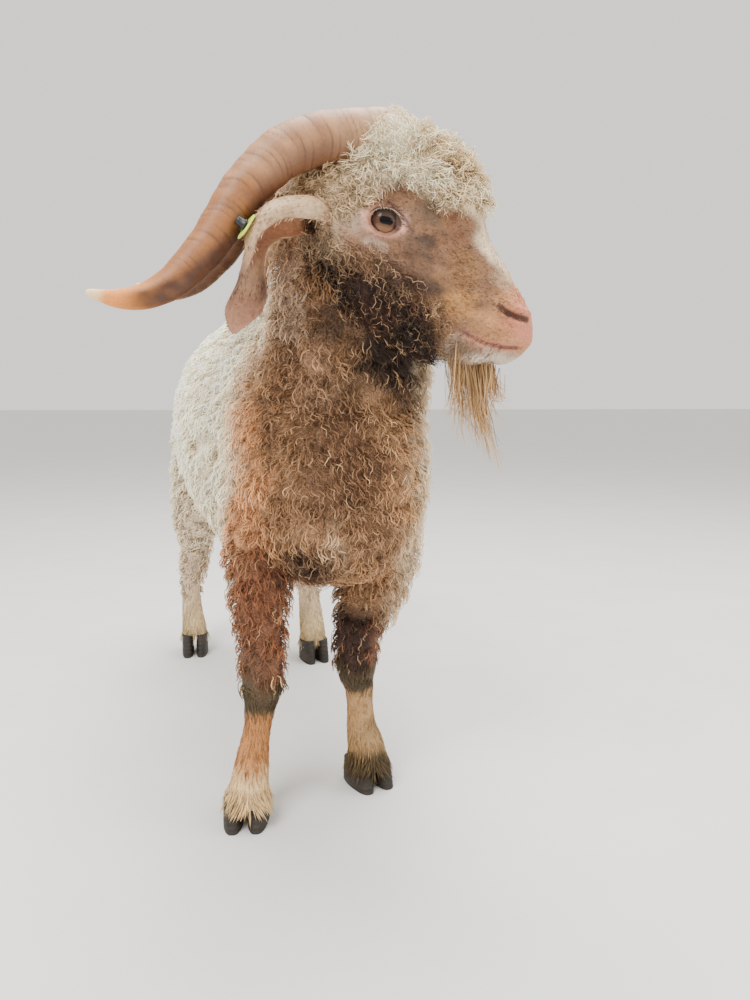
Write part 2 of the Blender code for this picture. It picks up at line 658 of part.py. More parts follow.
def hoof_claws(name):
    """The two claws of a hoof, each flat underneath and flat on top."""
    x, y, turn, top, half = HOOVES[name]
    turn = math.radians(turn)
    forward = np.array([math.sin(turn), -math.cos(turn), 0.0])
    across = np.array([-forward[1], forward[0], 0.0])
    wide = (half - HOOF_CLEFT / 2) / 2
    claws = []
    for side in (-1, 1):
        rings = []
        for height, toe, heel, share in ((0.0, 0.56, 0.44, 1.0), (0.35, 0.53, 0.44, 1.0), (1.0, 0.40, 0.42, 0.93)):
            turns = np.arange(14) * 2 * math.pi / 14
            reach = np.where(np.cos(turns) > 0, toe, heel) * HOOF_LENGTH
            flat = np.abs(np.sin(turns)) ** 0.75 * np.sign(np.sin(turns))
            centre = np.array([x, y, top * height]) + across * side * (wide + HOOF_CLEFT / 2)
            lean = across * (-side * 0.10 * wide * np.maximum(np.cos(turns), 0))[:, None]
            rings.append(
                centre
                + forward * (np.cos(turns) * reach)[:, None]
                + across * (flat * wide * share)[:, None]
                + lean
            )
        rings = np.array(rings)[:, ::-1]
        claws.append(skinned(rings, rings[0].mean(axis=0), rings[-1].mean(axis=0)))
    return claws


def ear_path(steps):
    """The ear's rows resampled, with the ways along it, into its opening and across."""
    path = smooth(EAR_ROWS, steps)
    along = unit(np.gradient(path[:, :3], axis=0))
    opens = path[:, 5:]
    opens = unit(opens - np.sum(along * opens, axis=1, keepdims=True) * along)
    return path, along, opens, np.cross(opens, along)


def ear_shape(by=0.0):
    """A cupped ear: a bent sheet whose roll opens one way, thinner towards its tip."""
    path, along, opens, side = ear_path(12)
    rings = []
    for i in range(len(path)):
        arc = np.radians(np.linspace(-path[i, 4], path[i, 4], 9))
        arc[[0, -1]] += np.array([-2.0, 2.0]) * by / path[i, 3]
        thick = EAR_THICK * (1.0 - 0.35 * i / (len(path) - 1))
        ways = side[i] * np.sin(arc)[:, None] - opens[i] * np.cos(arc)[:, None]
        outer = path[i, :3] + ways * (path[i, 3] + by)
        inner = path[i, :3] + ways[1:-1] * (path[i, 3] - thick - by)
        rings.append(np.vstack([outer, inner[::-1]]))
    rings = np.array(rings)
    rings[0] -= along[0] * 2 * by
    last = np.array(EAR_TIP) - opens[-1] * (path[-1, 3] - EAR_THICK / 2) + along[-1] * 2 * by
    return skinned(rings, None, last)


def tag_shapes(by=0.0):
    """The ear tag on the back of the right ear: a flat plate, and a small button with its stem."""
    path, along, opens, side = ear_path(101)
    i = int(TAG_AT * 100)
    turn = math.radians(TAG_TURN)
    out = side[i] * math.sin(turn) - opens[i] * math.cos(turn)
    across = np.cross(along[i], out)
    axes = (across, along[i], out)
    start = path[i, :3] + out * path[i, 3]
    plate = block(start + out * 0.0016, (TAG_PLATE[0] + by, TAG_PLATE[1] + by, TAG_PLATE[2] + by), axes)
    low, high = -0.0060 - by, 0.0032
    wide, narrow, tall = TAG_BUTTON
    line = [start + out * h for h in (low, high, high + 0.0006, high + tall + by)]
    radii = np.array([0.0016, 0.0016, wide, narrow]) + by
    turns = np.arange(12) * 2 * math.pi / 12
    ways = across * np.cos(turns)[:, None] + along[i] * np.sin(turns)[:, None]
    rings = np.array([p + ways * r for p, r in zip(line, radii)])
    return headed(plate), headed(skinned(rings, line[0], line[-1]))


def on_face(point, inset=0.0):
    """The place on the right side of the head over an f and u, moved in by inset."""
    path = smooth(HEAD_ROWS, 61)
    f, u = point
    row = [np.interp(f, path[:, 0], path[:, k]) for k in range(6)]
    tall = row[4] if u > row[1] else row[5]
    share = min(abs(u - row[1]) / tall, 0.98)
    return np.array([f, u, row[3] * (1 - share**2.2) ** (1 / 2.2) - inset])


def face_line(line, front, inset):
    """A line along the right side of the face, round the front and back along the left side."""
    right = np.array([on_face(p, inset) for p in line])
    left = right[::-1] * np.array([1.0, 1.0, -1.0])
    return np.vstack([right, [[front[0] - inset, front[1], 0.0]], left])


def round_tube(line, radii, sides, steps, across=(0.0, 1.0, 0.0)):
    """A tube with a round section along a line."""
    line = np.asarray(line, float)
    radii = np.broadcast_to(np.asarray(radii, float), len(line))
    rows = np.column_stack([line, radii, radii, radii])
    return tube(rows, sides, steps, across)


def ring(centre, radius, thick, axes, around, sides):
    """A ring with two half sizes in the plane of the first two directions."""
    turns = np.arange(around) * 2 * math.pi / around
    ways = np.arange(sides) * 2 * math.pi / sides
    points = []
    for turn in turns:
        flat = np.array([math.cos(turn), math.sin(turn), 0.0])
        for way in ways:
            spot = flat * (np.array([*radius, 0.0]) + thick * math.cos(way))
            points.append(spot + np.array([0.0, 0.0, thick * math.sin(way)]))
    points = np.array(points) @ np.array(axes) + np.array(centre)
    faces = []
    for i in range(around):
        for j in range(sides):
            a, b = i * sides + j, i * sides + (j + 1) % sides
            c, d = (i + 1) % around * sides + j, (i + 1) % around * sides + (j + 1) % sides
            faces.append((a, c, d, b))
    return points, faces


def face_features():
    """What is joined to the head and what is cut from it, in the head's frame."""
    mirror_line = [(p[0], p[1]) for p in MOUTH_LINE]
    cut = [round_tube(face_line(mirror_line, MOUTH_FRONT, 0.0), MOUTH_RADIUS, 4, 13)]
    joined = []
    for way in (-1, 1):
        line = [(f - 0.002, u + way * LIP_OFFSET) for f, u in MOUTH_LINE[1:]]
        front = (MOUTH_FRONT[0] - 0.002, MOUTH_FRONT[1] + way * LIP_OFFSET)
        path = face_line(line, front, LIP_RADIUS * 0.78)
        radii = LIP_RADIUS * np.array([0.6, *[1.0] * (len(path) - 2), 0.6])
        joined.append(round_tube(path, radii, 5, 11))
    nostril = np.array([on_face(p[:2], 0.0004) for p in NOSTRIL_LINE])
    opening = round_tube(nostril, [p[2] for p in NOSTRIL_LINE], 5, 5)
    rim = round_tube(np.array([on_face(p[:2], 0.0030) for p in NOSTRIL_LINE]), 0.0058, 5, 5)
    lids = ring((EYE_AT[0], EYE_AT[1], EYE_AT[2] + LID_OUT), (LID_RADIUS, LID_RADIUS * 0.93), LID_THICK, np.eye(3), 12, 5)
    brow = ball(BROW_AT, BROW_SIZES, np.eye(3), 10, 6)
    socket = ball(EYE_AT, [EYE_RADIUS + GAP] * 3, np.eye(3), 12, 7)
    for shape in (rim, brow, lids):
        joined += [shape, mirrored(shape)]
    cut += [opening, mirrored(opening)]
    return [headed(s) for s in joined], [headed(s) for s in cut], [headed(s) for s in (socket, mirrored(socket))]


def stand_on_origin():
    """Moves every node alike, so that the whole stands on z = 0 with its box centred over the origin."""
    solids = [made for made in bpy.data.objects if made.type == "MESH"]
    points = np.array([v.co for made in solids for v in made.data.vertices])
    low, high = points.min(axis=0), points.max(axis=0)
    shift = Vector((-(low[0] + high[0]) / 2, -(low[1] + high[1]) / 2, -low[2]))
    for made in solids:
        made.data.transform(Matrix.Translation(shift))


def main():
    clear_scene()
    fleece = material("fleece", FLEECE)
    stained = material("stained_fleece", STAINED)
    short = material("short_hair", SHORT_HAIR)
    horn_colour = material("horn", HORN)
    hoof_colour = material("hoof", HOOF)
    eye_colour = material("eye", EYE)
    black = material("black_plastic", TAG_BLACK)
    green = material("green_plastic", TAG_GREEN)

    random = np.random.default_rng(SEED)
    trunk = tube(core_rows(TRUNK_ROWS, TRUNK_COAT[5]), 14, 12, (1, 0, 0), (0.012, 0.035), 2.2)
    neck = tube(core_rows(NECK_ROWS, NECK_COAT[5]), 12, 7, (1, 0, 0), (0.0, 0.02), 2.0)
    head = headed(tube(HEAD_ROWS, 14, 14, (0, 0, 1), (0.02, HEAD_NOSE), 2.2))
    coats = {name: FORELEG_COAT if name.startswith("fore") else HINDLEG_COAT for name in LEG_ROWS}
    legs = {name: leg_shape(name, coats[name][5]) for name in LEG_ROWS}
    tail_shape = tube(core_rows(TAIL_ROWS, 0.0), 10, 8, (1, 0, 0), (0.0, 0.012))
    body_coat = coat_of(random, TRUNK_ROWS, TRUNK_COAT, (1, 0, 0), 2.2)
    body_coat += coat_of(random, TRUNK_ROWS, CHEST_COAT, (1, 0, 0), 2.2)
    body_coat += coat_of(random, NECK_ROWS, NECK_COAT, (1, 0, 0))
    for name, rows in LEG_ROWS.items():
        body_coat += coat_of(random, rows, coats[name], (1, 0, 0))
    face_coat = head_coat(random)
    tail_coat = coat_of(random, TAIL_ROWS, TAIL_COAT, (1, 0, 0))

    turn = Matrix.Rotation(math.radians(HORN_LEFT_TURN), 3, "Z")
    horns = {}
    for by in (0.0, GAP):
        right = tube(grown(HORN_ROWS, by), 9, 16, (0, 0, 1), (0.004 + by, 0.004 + by))
        left = mirrored(right)
        pivot = np.array([HORN_ROWS[0][0], HORN_ROWS[0][1], 0.0])
        left = ((left[0] - pivot) @ np.array(turn) + pivot, left[1])
        horns[by] = [headed(right), headed(left)]
    ears = {by: [headed(ear_shape(by)), headed(mirrored(ear_shape(by)))] for by in (0.0, GAP)}
    plate, button = tag_shapes()
    plate_grown, button_grown = tag_shapes(GAP)

    gap = GAP / 2
    down = (0.0, 1.0, 0.0)
    head_planes = [head_plane(HEAD_BACK, HEAD_BACK_AT + gap, -1)]
    under_jaw = [head_plane(down, HEAD_UNDER_AT + gap, 1), body_plane(BEARD_WAY, BEARD_AT + gap, 1)]
    over_jaw = [head_plane(HEAD_BACK, HEAD_BACK_AT - gap, -1), head_plane(down, HEAD_UNDER_AT - gap, -1)]
    beard_zone = [head_plane(HEAD_BACK, HEAD_BACK_AT - gap, -1), body_plane(BEARD_WAY, BEARD_AT - gap, -1)]
    torso_planes = [body_plane(NECK_WAY, NECK_AT - gap, 1)]
    neck_planes = [body_plane(NECK_WAY, NECK_AT + gap, -1)]

    joined, cut, sockets = face_features()
    beard = [headed(lock(row[:3], row[3:6], row[6], (0.010, -0.012, 0.003))) for row in BEARD_LOCKS]
    ruff = [headed(lock(row[:3], row[3:6], row[6], (0.004, -0.004, 0.003))) for row in RUFF_LOCKS]
    worn = [*horns[GAP], *ears[GAP]]
    tail_grown = tube(grown(TAIL_ROWS, GAP), 10, 8, (1, 0, 0), (0.0, 0.012 + GAP))
    leg_holes = [region(leg_planes(name, 0.0)) for name in LEG_ROWS]
    reach = 0.05
    node(
        "torso",
        [trunk, neck, *legs.values(), *near(body_coat, torso_planes, reach)],
        fleece,
        [region(torso_planes)],
        [*leg_holes, tail_grown],
    )
    node(
        "neck",
        [neck, trunk, head, *ruff, *near(body_coat, neck_planes, reach), *bare(face_coat)],
        stained,
        [region(neck_planes)],
        [region(over_jaw), region(beard_zone), *worn],
    )
    node(
        "head",
        [head, neck, *joined, *beard, *ruff, *bare(face_coat), *near(body_coat, over_jaw, 0.0)],
        short,
        [region([*head_planes, *neck_planes])],
        [region(under_jaw), *cut, *sockets, *worn],
    )
    node("tail", [tail_shape, *bare(tail_coat)], fleece)
    for name, shape in legs.items():
        planes = leg_planes(name, GAP, HOOVES[name][3] + GAP)
        pieces = [shape, trunk, *near(body_coat, planes, 0.06)]
        node(name, pieces, stained if name.startswith("fore") else fleece, [region(planes)])
        outer, inner = hoof_claws(name) if name.endswith("right") else reversed(hoof_claws(name))
        node(name.replace("leg", "_hoof") + "_outer", [outer], hoof_colour)
        node(name.replace("leg", "_hoof") + "_inner", [inner], hoof_colour)
    for side, i in (("right", 0), ("left", 1)):
        node("horn_" + side, [horns[0.0][i]], horn_colour)
        node("ear_" + side, [ears[0.0][i]], short, (), [] if i else [plate_grown, button_grown])
        eye = headed(ball(EYE_AT, [EYE_RADIUS] * 3, np.eye(3), 12, 7))
        if i:
            eye = headed(mirrored(ball(EYE_AT, [EYE_RADIUS] * 3, np.eye(3), 12, 7)))
        node("eye_" + side, [eye], eye_colour)
    node("ear_tag_plate", [plate], green, (), [button_grown])
    node("ear_tag_button", [button], black)
    stand_on_origin()


main()
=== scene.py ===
"""The looks of an Angora goat buck that stands with its head turned to its left.

The goat's own frame has x to its left, y to its back and z up, with the ground at z = 0. SHIFT moves it onto
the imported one. Flesh is one skin from the same rows of sizes as the solids, drawn in by the coat. The coat is
locks of curled strands that march over the skin along the lie of the wool.
"""

import math

import bmesh
import bpy
import numpy as np
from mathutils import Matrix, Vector
from mathutils.bvhtree import BVHTree


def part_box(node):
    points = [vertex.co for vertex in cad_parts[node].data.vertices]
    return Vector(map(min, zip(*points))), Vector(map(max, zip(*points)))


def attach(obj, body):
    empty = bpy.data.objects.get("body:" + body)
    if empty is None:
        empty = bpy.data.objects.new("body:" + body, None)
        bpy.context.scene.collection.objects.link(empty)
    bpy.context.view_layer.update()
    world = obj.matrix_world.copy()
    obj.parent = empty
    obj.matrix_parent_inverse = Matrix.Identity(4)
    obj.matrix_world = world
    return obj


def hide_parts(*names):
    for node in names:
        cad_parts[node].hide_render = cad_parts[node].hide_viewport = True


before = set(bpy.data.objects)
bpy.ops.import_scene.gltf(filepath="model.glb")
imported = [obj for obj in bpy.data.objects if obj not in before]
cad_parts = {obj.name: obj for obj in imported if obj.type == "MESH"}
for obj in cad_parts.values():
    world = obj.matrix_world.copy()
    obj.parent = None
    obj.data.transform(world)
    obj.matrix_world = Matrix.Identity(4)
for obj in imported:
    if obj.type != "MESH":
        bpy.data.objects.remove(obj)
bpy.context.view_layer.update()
BODY = "root"

# Driving sizes
SEED = 23
# The head's place in the goat's frame and its turns in degrees
HEAD_AT = (0.0407, -0.1246, 0.6425)
HEAD_YAW = 84.0
HEAD_PITCH = 40.0
HEAD_ROLL = 8.0

# The camera in the goat's frame: its place, turn and tilt in degrees, and lens for a frame 36 mm wide
CAMERA_AT = (-0.1605, -0.8236, 0.48)
CAMERA_TURN = 16.0
CAMERA_TILT = 7.2
CAMERA_LENS = 36.0

# Rows of a form: place, half width, height above, height below, all to the tips of the coat
TRUNK_ROWS = (
    (0.024, -0.116, 0.402, 0.038, 0.046, 0.050),
    (0.024, -0.098, 0.400, 0.070, 0.085, 0.090),
    (0.025, -0.072, 0.400, 0.096, 0.120, 0.116),
    (0.025, -0.035, 0.405, 0.113, 0.150, 0.136),
    (0.020, 0.010, 0.415, 0.117, 0.180, 0.152),
    (0.012, 0.070, 0.425, 0.122, 0.193, 0.166),
    (0.004, 0.160, 0.430, 0.136, 0.187, 0.168),
    (0.000, 0.300, 0.435, 0.143, 0.178, 0.160),
    (0.000, 0.440, 0.440, 0.142, 0.178, 0.146),
    (0.000, 0.550, 0.445, 0.137, 0.172, 0.130),
    (0.000, 0.630, 0.445, 0.119, 0.150, 0.115),
    (0.000, 0.672, 0.440, 0.088, 0.112, 0.090),
)
NECK_ROWS = (
    (0.022, 0.060, 0.400, 0.106, 0.130, 0.120),
    (0.027, 0.015, 0.455, 0.110, 0.118, 0.112),
    (0.032, -0.035, 0.515, 0.101, 0.094, 0.100),
    (0.022, -0.070, 0.575, 0.084, 0.078, 0.088),
    (0.006, -0.098, 0.635, 0.068, 0.062, 0.074),
    (-0.004, -0.114, 0.685, 0.050, 0.044, 0.052),
)
TAIL_ROWS = (
    (0.0, 0.640, 0.545, 0.030, 0.022, 0.022),
    (0.0, 0.690, 0.570, 0.027, 0.018, 0.018),
    (0.0, 0.735, 0.560, 0.024, 0.015, 0.015),
    (0.0, 0.762, 0.528, 0.016, 0.010, 0.010),
)
# Rows of a leg from the trunk down: place, half width, depth behind, depth in front
LEG_ROWS = {
    "foreleg_right": (
        (-0.052, 0.060, 0.450, 0.046, 0.075, 0.075),
        (-0.052, 0.038, 0.360, 0.046, 0.076, 0.076),
        (-0.054, 0.024, 0.300, 0.042, 0.064, 0.062),
        (-0.057, 0.014, 0.250, 0.035, 0.050, 0.048),
        (-0.0565, 0.010, 0.200, 0.030, 0.039, 0.037),
        (-0.056, 0.006, 0.168, 0.024, 0.029, 0.028),
        (-0.0585, 0.012, 0.141, 0.0195, 0.021, 0.020),
        (-0.063, 0.014, 0.106, 0.016, 0.018, 0.018),
        (-0.068, 0.012, 0.080, 0.0185, 0.024, 0.020),
        (-0.0725, 0.006, 0.055, 0.0215, 0.025, 0.024),
        (-0.0765, 0.004, 0.030, 0.0255, 0.029, 0.029),
    ),
    "foreleg_left": (
        (0.088, 0.070, 0.450, 0.050, 0.075, 0.075),
        (0.092, 0.054, 0.360, 0.054, 0.076, 0.076),
        (0.090, 0.040, 0.300, 0.052, 0.066, 0.064),
        (0.076, 0.030, 0.250, 0.044, 0.052, 0.050),
        (0.060, 0.028, 0.200, 0.030, 0.040, 0.038),
        (0.059, 0.030, 0.168, 0.024, 0.029, 0.028),
        (0.066, 0.040, 0.138, 0.018, 0.021, 0.020),
        (0.070, 0.048, 0.104, 0.0165, 0.018, 0.018),
        (0.0725, 0.052, 0.080, 0.0185, 0.024, 0.020),
        (0.0775, 0.050, 0.055, 0.023, 0.026, 0.025),
        (0.0815, 0.052, 0.030, 0.0265, 0.029, 0.029),
    ),
    "hindleg_right": (
        (-0.070, 0.580, 0.480, 0.060, 0.100, 0.110),
        (-0.084, 0.565, 0.410, 0.056, 0.094, 0.105),
        (-0.092, 0.562, 0.345, 0.050, 0.082, 0.082),
        (-0.098, 0.585, 0.285, 0.044, 0.060, 0.058),
        (-0.100, 0.612, 0.245, 0.040, 0.048, 0.046),
        (-0.099, 0.646, 0.206, 0.031, 0.037, 0.036),
        (-0.103, 0.665, 0.172, 0.025, 0.030, 0.030),
        (-0.110, 0.668, 0.122, 0.0175, 0.022, 0.020),
        (-0.110, 0.662, 0.086, 0.0195, 0.023, 0.021),
        (-0.108, 0.652, 0.060, 0.022, 0.024, 0.024),
        (-0.107, 0.644, 0.040, 0.0235, 0.025, 0.027),
    ),
    "hindleg_left": (
        (0.070, 0.570, 0.480, 0.060, 0.100, 0.110),
        (0.084, 0.540, 0.410, 0.056, 0.094, 0.105),
        (0.092, 0.520, 0.345, 0.050, 0.082, 0.082),
        (0.098, 0.528, 0.285, 0.044, 0.060, 0.058),
        (0.100, 0.546, 0.245, 0.040, 0.048, 0.046),
        (0.100, 0.570, 0.206, 0.031, 0.037, 0.036),
        (0.103, 0.582, 0.172, 0.026, 0.030, 0.030),
        (0.107, 0.576, 0.122, 0.020, 0.022, 0.021),
        (0.108, 0.564, 0.086, 0.022, 0.024, 0.023),
        (0.1085, 0.554, 0.060, 0.025, 0.025, 0.026),
        (0.1085, 0.546, 0.040, 0.026, 0.026, 0.028),
    ),
}
# Each hoof: its middle, its turn in degrees, the height of its top and the half width of the pair of claws
HOOVES = {
    "foreleg_right": (-0.0775, 0.010, -12.0, 0.030, 0.0265),
    "foreleg_left": (0.0820, 0.058, 12.0, 0.030, 0.0275),
    "hindleg_right": (-0.1070, 0.638, -6.0, 0.040, 0.0245),
    "hindleg_left": (0.1085, 0.540, 6.0, 0.040, 0.0260),
}
HOOF_LENGTH = 0.062
HOOF_CLEFT = 0.005

# Rows of the head: f, u, r, half width, height above, height below, to the short hair and the wool's core
HEAD_ROWS = (
    (-0.060, 0.008, 0.0, 0.044, 0.044, 0.044),
    (-0.040, 0.008, 0.0, 0.053, 0.072, 0.064),
    (-0.012, 0.006, 0.0, 0.055, 0.088, 0.074),
    (0.018, 0.004, 0.0, 0.053, 0.092, 0.078),
    (0.048, 0.003, 0.0, 0.046, 0.083, 0.076),
    (0.078, 0.002, 0.0, 0.038, 0.068, 0.067),
    (0.105, 0.004, 0.0, 0.034, 0.057, 0.058),
    (0.130, 0.006, 0.0, 0.032, 0.049, 0.051),
    (0.148, 0.010, 0.0, 0.030, 0.039, 0.046),
    (0.162, 0.010, 0.0, 0.026, 0.032, 0.038),
    (0.174, 0.008, 0.0, 0.018, 0.022, 0.026),
)
EYE_AT = (0.000, 0.0025, 0.0445)
EYE_RADIUS = 0.0142
# Half width of the opening of the lids, and its height over and under the eye's middle
LIDS = (0.0131, 0.0101, 0.0104)
# Rings of a lid: how far each is grown, its lift off the eyeball and its half thickness
LID_SHELLS = ((1.0, 0.0003, 0.0013), (1.15, 0.0006, 0.0019), (1.32, 0.0010, 0.0024), (1.5, 0.0010, 0.0028))
# Folds over and under the lids: from and to in degrees, how far each is grown and its half thickness
LID_FOLDS = ((20, 165, 1.62, 0.0019), (200, 340, 1.60, 0.0014))
# f and u along the mouth from its corner to its front, and along a nostril with its half opening
MOUTH_LINE = ((0.110, -0.021), (0.127, -0.017), (0.144, -0.012), (0.159, -0.004), (0.172, 0.006))
MOUTH_FRONT = (0.1825, 0.012)
NOSTRIL_LINE = (
    (0.131, 0.021, 0.0014), (0.141, 0.022, 0.0030), (0.151, 0.026, 0.0036), (0.161, 0.031, 0.0018),
)
# How far the lips lie over and under the mouth, and the rims over and under a nostril with their radii
LIP_RISE = 0.0058
LIP_RADIUS = 0.0048
NOSTRIL_RIMS = ((0.0066, (0.0030, 0.0044, 0.0046, 0.0034)), (-0.0058, (0.0022, 0.0032, 0.0036, 0.0030)))

# Horn: f, u, r, half width, height above and height below, from the skull to the tip
HORN_ROWS = (
    (-0.016, 0.052, 0.0230, 0.0205, 0.0225, 0.0205),
    (-0.036, 0.061, 0.0290, 0.0230, 0.0236, 0.0230),
    (-0.0656, 0.0382, 0.0353, 0.0226, 0.0228, 0.0226),
    (-0.0884, 0.0105, 0.0437, 0.0215, 0.0218, 0.0215),
    (-0.1010, -0.0213, 0.0521, 0.0206, 0.0210, 0.0206),
    (-0.1034, -0.0570, 0.0605, 0.0188, 0.0194, 0.0188),
    (-0.0997, -0.0865, 0.0682, 0.0172, 0.0180, 0.0172),
    (-0.0962, -0.1164, 0.0759, 0.0157, 0.0164, 0.0157),
    (-0.0973, -0.1465, 0.0836, 0.0133, 0.0142, 0.0133),
    (-0.1055, -0.1729, 0.0913, 0.0101, 0.0110, 0.0101),
    (-0.1199, -0.1900, 0.0983, 0.0074, 0.0080, 0.0074),
    (-0.1390, -0.2010, 0.1040, 0.0032, 0.0034, 0.0032),
)
# How far the left horn is turned back at its root, in degrees, from the right one's mirrored form
HORN_LEFT_TURN = 3.2
# Points round a horn and along it, and the lengths of its growth rings, cross grooves and fine lines
HORN_SIDES = 56
HORN_STEPS = 300
HORN_RING = 0.019
HORN_GROOVE = 0.0068
HORN_LINE = 0.0019

# Ear: f, u, r of its spine, the radius of its roll, the half angle the roll covers and the way that it opens
EAR_ROWS = (
    (-0.0330, -0.0290, 0.0250, 0.0120, 125.0, 0.74, -0.62, 0.22),
    (-0.0477, -0.0344, 0.0450, 0.0165, 130.0, 0.74, -0.60, 0.30),
    (-0.0579, -0.0460, 0.0600, 0.0172, 130.0, 0.76, -0.50, 0.42),
    (-0.0670, -0.0610, 0.0730, 0.0152, 128.0, 0.76, -0.38, 0.52),
    (-0.0680, -0.0775, 0.0815, 0.0118, 130.0, 0.72, -0.28, 0.62),
    (-0.0618, -0.0911, 0.0870, 0.0092, 138.0, 0.68, -0.20, 0.70),
    (-0.0525, -0.1063, 0.0910, 0.0106, 122.0, 0.60, -0.08, 0.79),
    (-0.0420, -0.1225, 0.0940, 0.0152, 88.0, 0.52, 0.02, 0.85),
    (-0.0385, -0.1350, 0.0950, 0.0156, 72.0, 0.46, 0.10, 0.88),
    (-0.0345, -0.1460, 0.0940, 0.0125, 64.0, 0.42, 0.12, 0.90),
    (-0.0318, -0.1545, 0.0925, 0.0100, 60.0, 0.42, 0.12, 0.90),
)
EAR_THICK = 0.0034
EAR_STEPS = 90
EAR_ARCS = 29
# The left ear hangs this many degrees further back than the right one
LEFT_EAR_TURN = 8.0
# The tag: its share of the ear's length, its turn round the roll in degrees, the half sizes of its plate, and
# the radii and height of its button
TAG_AT = 0.51
TAG_TURN = -48.0
TAG_PLATE = (0.0085, 0.0110, 0.0009)
TAG_BUTTON = (0.0052, 0.0036, 0.0085)

# Beard locks: root f, u, r and tip f, u, r
BEARD_LOCKS = (
    (0.128, -0.036, 0.012, 0.1726, -0.0865, 0.012),
    (0.134, -0.036, -0.012, 0.2018, -0.0896, -0.010),
    (0.140, -0.034, 0.006, 0.2213, -0.0886, 0.006),
    (0.146, -0.030, -0.002, 0.2446, -0.0905, 0.000),
    (0.156, -0.024, 0.006, 0.2068, -0.0662, 0.008),
    (0.162, -0.018, -0.006, 0.2014, -0.0375, -0.006),
    (0.150, -0.028, -0.012, 0.2130, -0.0740, -0.014),
)

# How far the skin lies under the outer rows, where a lock is as deep
TRUNK_COAT = 0.017
NECK_COAT = 0.017
LEG_COAT = 0.0085
SKIN_UNDER = 0.0010
# The even steps of the body's and the head's surfaces, and how finely a form is read where it is measured
SKIN_STEP = 0.0039
HEAD_STEP = 0.0016
SPINE_STEPS = 61

# Sides round a strand, the size of its patch on the atlas, how far colours are strengthened and how fine the
# curls of the wool's bump are
STRAND_SIDES = 3
PATCH = 0.003
VIVID = 1.10
CURL_SCALE = 120.0

# How many locks and tufts each part of the coat has
REAR_LOCKS = 1900
FRONT_LOCKS = 2100
LEG_LOCKS = 1660
TAIL_LOCKS = 90
CROWN_LOCKS = 900
CHEEK_LOCKS = 480
FACE_TUFTS = 8500
LEG_TUFTS = 4600
EAR_TUFTS = 1500
BEARD_WISPS = 72
LASHES = 46

MIRROR = np.array([1.0, 1.0, -1.0])


def unit(vectors):
    """Vectors scaled to length one."""
    vectors = np.asarray(vectors, float)
    return vectors / np.maximum(np.linalg.norm(vectors, axis=-1, keepdims=True), 1e-12)


def srgb(*values):
    """A colour given from 0 to 255 as light."""
    values = np.array(values, float) / 255.0
    return np.where(values <= 0.04045, values / 12.92, ((values + 0.055) / 1.055) ** 2.4)


def vivid(colour):
    """Colours with more strength and the same lightness."""
    grey = colour @ np.array([0.3, 0.59, 0.11])
    return np.clip(grey[:, None] + (colour - grey[:, None]) * VIVID, 0.002, 1.0)


def held(values):
    """Values kept between nought and one."""
    return np.clip(values, 0, 1)


def blend(a, b, share):
    """Goes from a to b by a share for each row."""
    share = np.asarray(share)[:, None]
    return a * (1 - share) + b * share


def layered(colour, *layers):
    """A colour with others laid over it in turn, each by its share at every place."""
    for mark, share in layers:
        colour = blend(colour, mark, share)
    return colour


def ease(low, high, values):
    """Nought below low, one above high and a smooth step between."""
    x = np.clip((np.asarray(values, float) - low) / (high - low), 0.0, 1.0)
    return x * x * (3 - 2 * x)


def around(count):
    """Even turns round a circle."""
    return np.arange(count) * math.tau / count


def powered(values, power):
    """Values raised to a power, with their signs kept."""
    return np.sign(values) * np.abs(values) ** power


def ripple(points, size, seed):
    """A smooth noise from about -1 to 1 whose lumps are as large as size."""
    random = np.random.default_rng(seed)
    ways = unit(random.normal(size=(10, 3))) * random.uniform(0.7, 1.5, (10, 1)) * 2.2 / size
    return np.sin(np.asarray(points) @ ways.T + random.uniform(0, math.tau, 10)).sum(axis=1) / 3.2


def head_axes():
    """The head's f, u and r directions in the goat's frame."""
    yaw, pitch, roll = (math.radians(a) for a in (HEAD_YAW, HEAD_PITCH, HEAD_ROLL))
    level = np.array([math.sin(yaw), -math.cos(yaw), 0.0])
    up = np.array([0.0, 0.0, 1.0])
    forward = level * math.cos(pitch) - up * math.sin(pitch)
    crown = level * math.sin(pitch) + up * math.cos(pitch)
    right = np.cross(forward, crown)
    return np.array([
        forward,
        crown * math.cos(roll) + right * math.sin(roll),
        right * math.cos(roll) - crown * math.sin(roll),
    ])


HEAD_AXES = head_axes()


def from_head(points):
    """Points of the head's frame in the goat's frame."""
    return np.asarray(points, float) @ HEAD_AXES + np.array(HEAD_AT)


def to_head(points):
    """Points of the goat's frame in the head's frame."""
    return (np.asarray(points, float) - np.array(HEAD_AT)) @ HEAD_AXES.T


def find_shift():
    """From the goat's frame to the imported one, read from the right eye's place."""
    low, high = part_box("eye_right")
    return np.array((low + high) / 2) - from_head(EYE_AT)


SHIFT = find_shift()


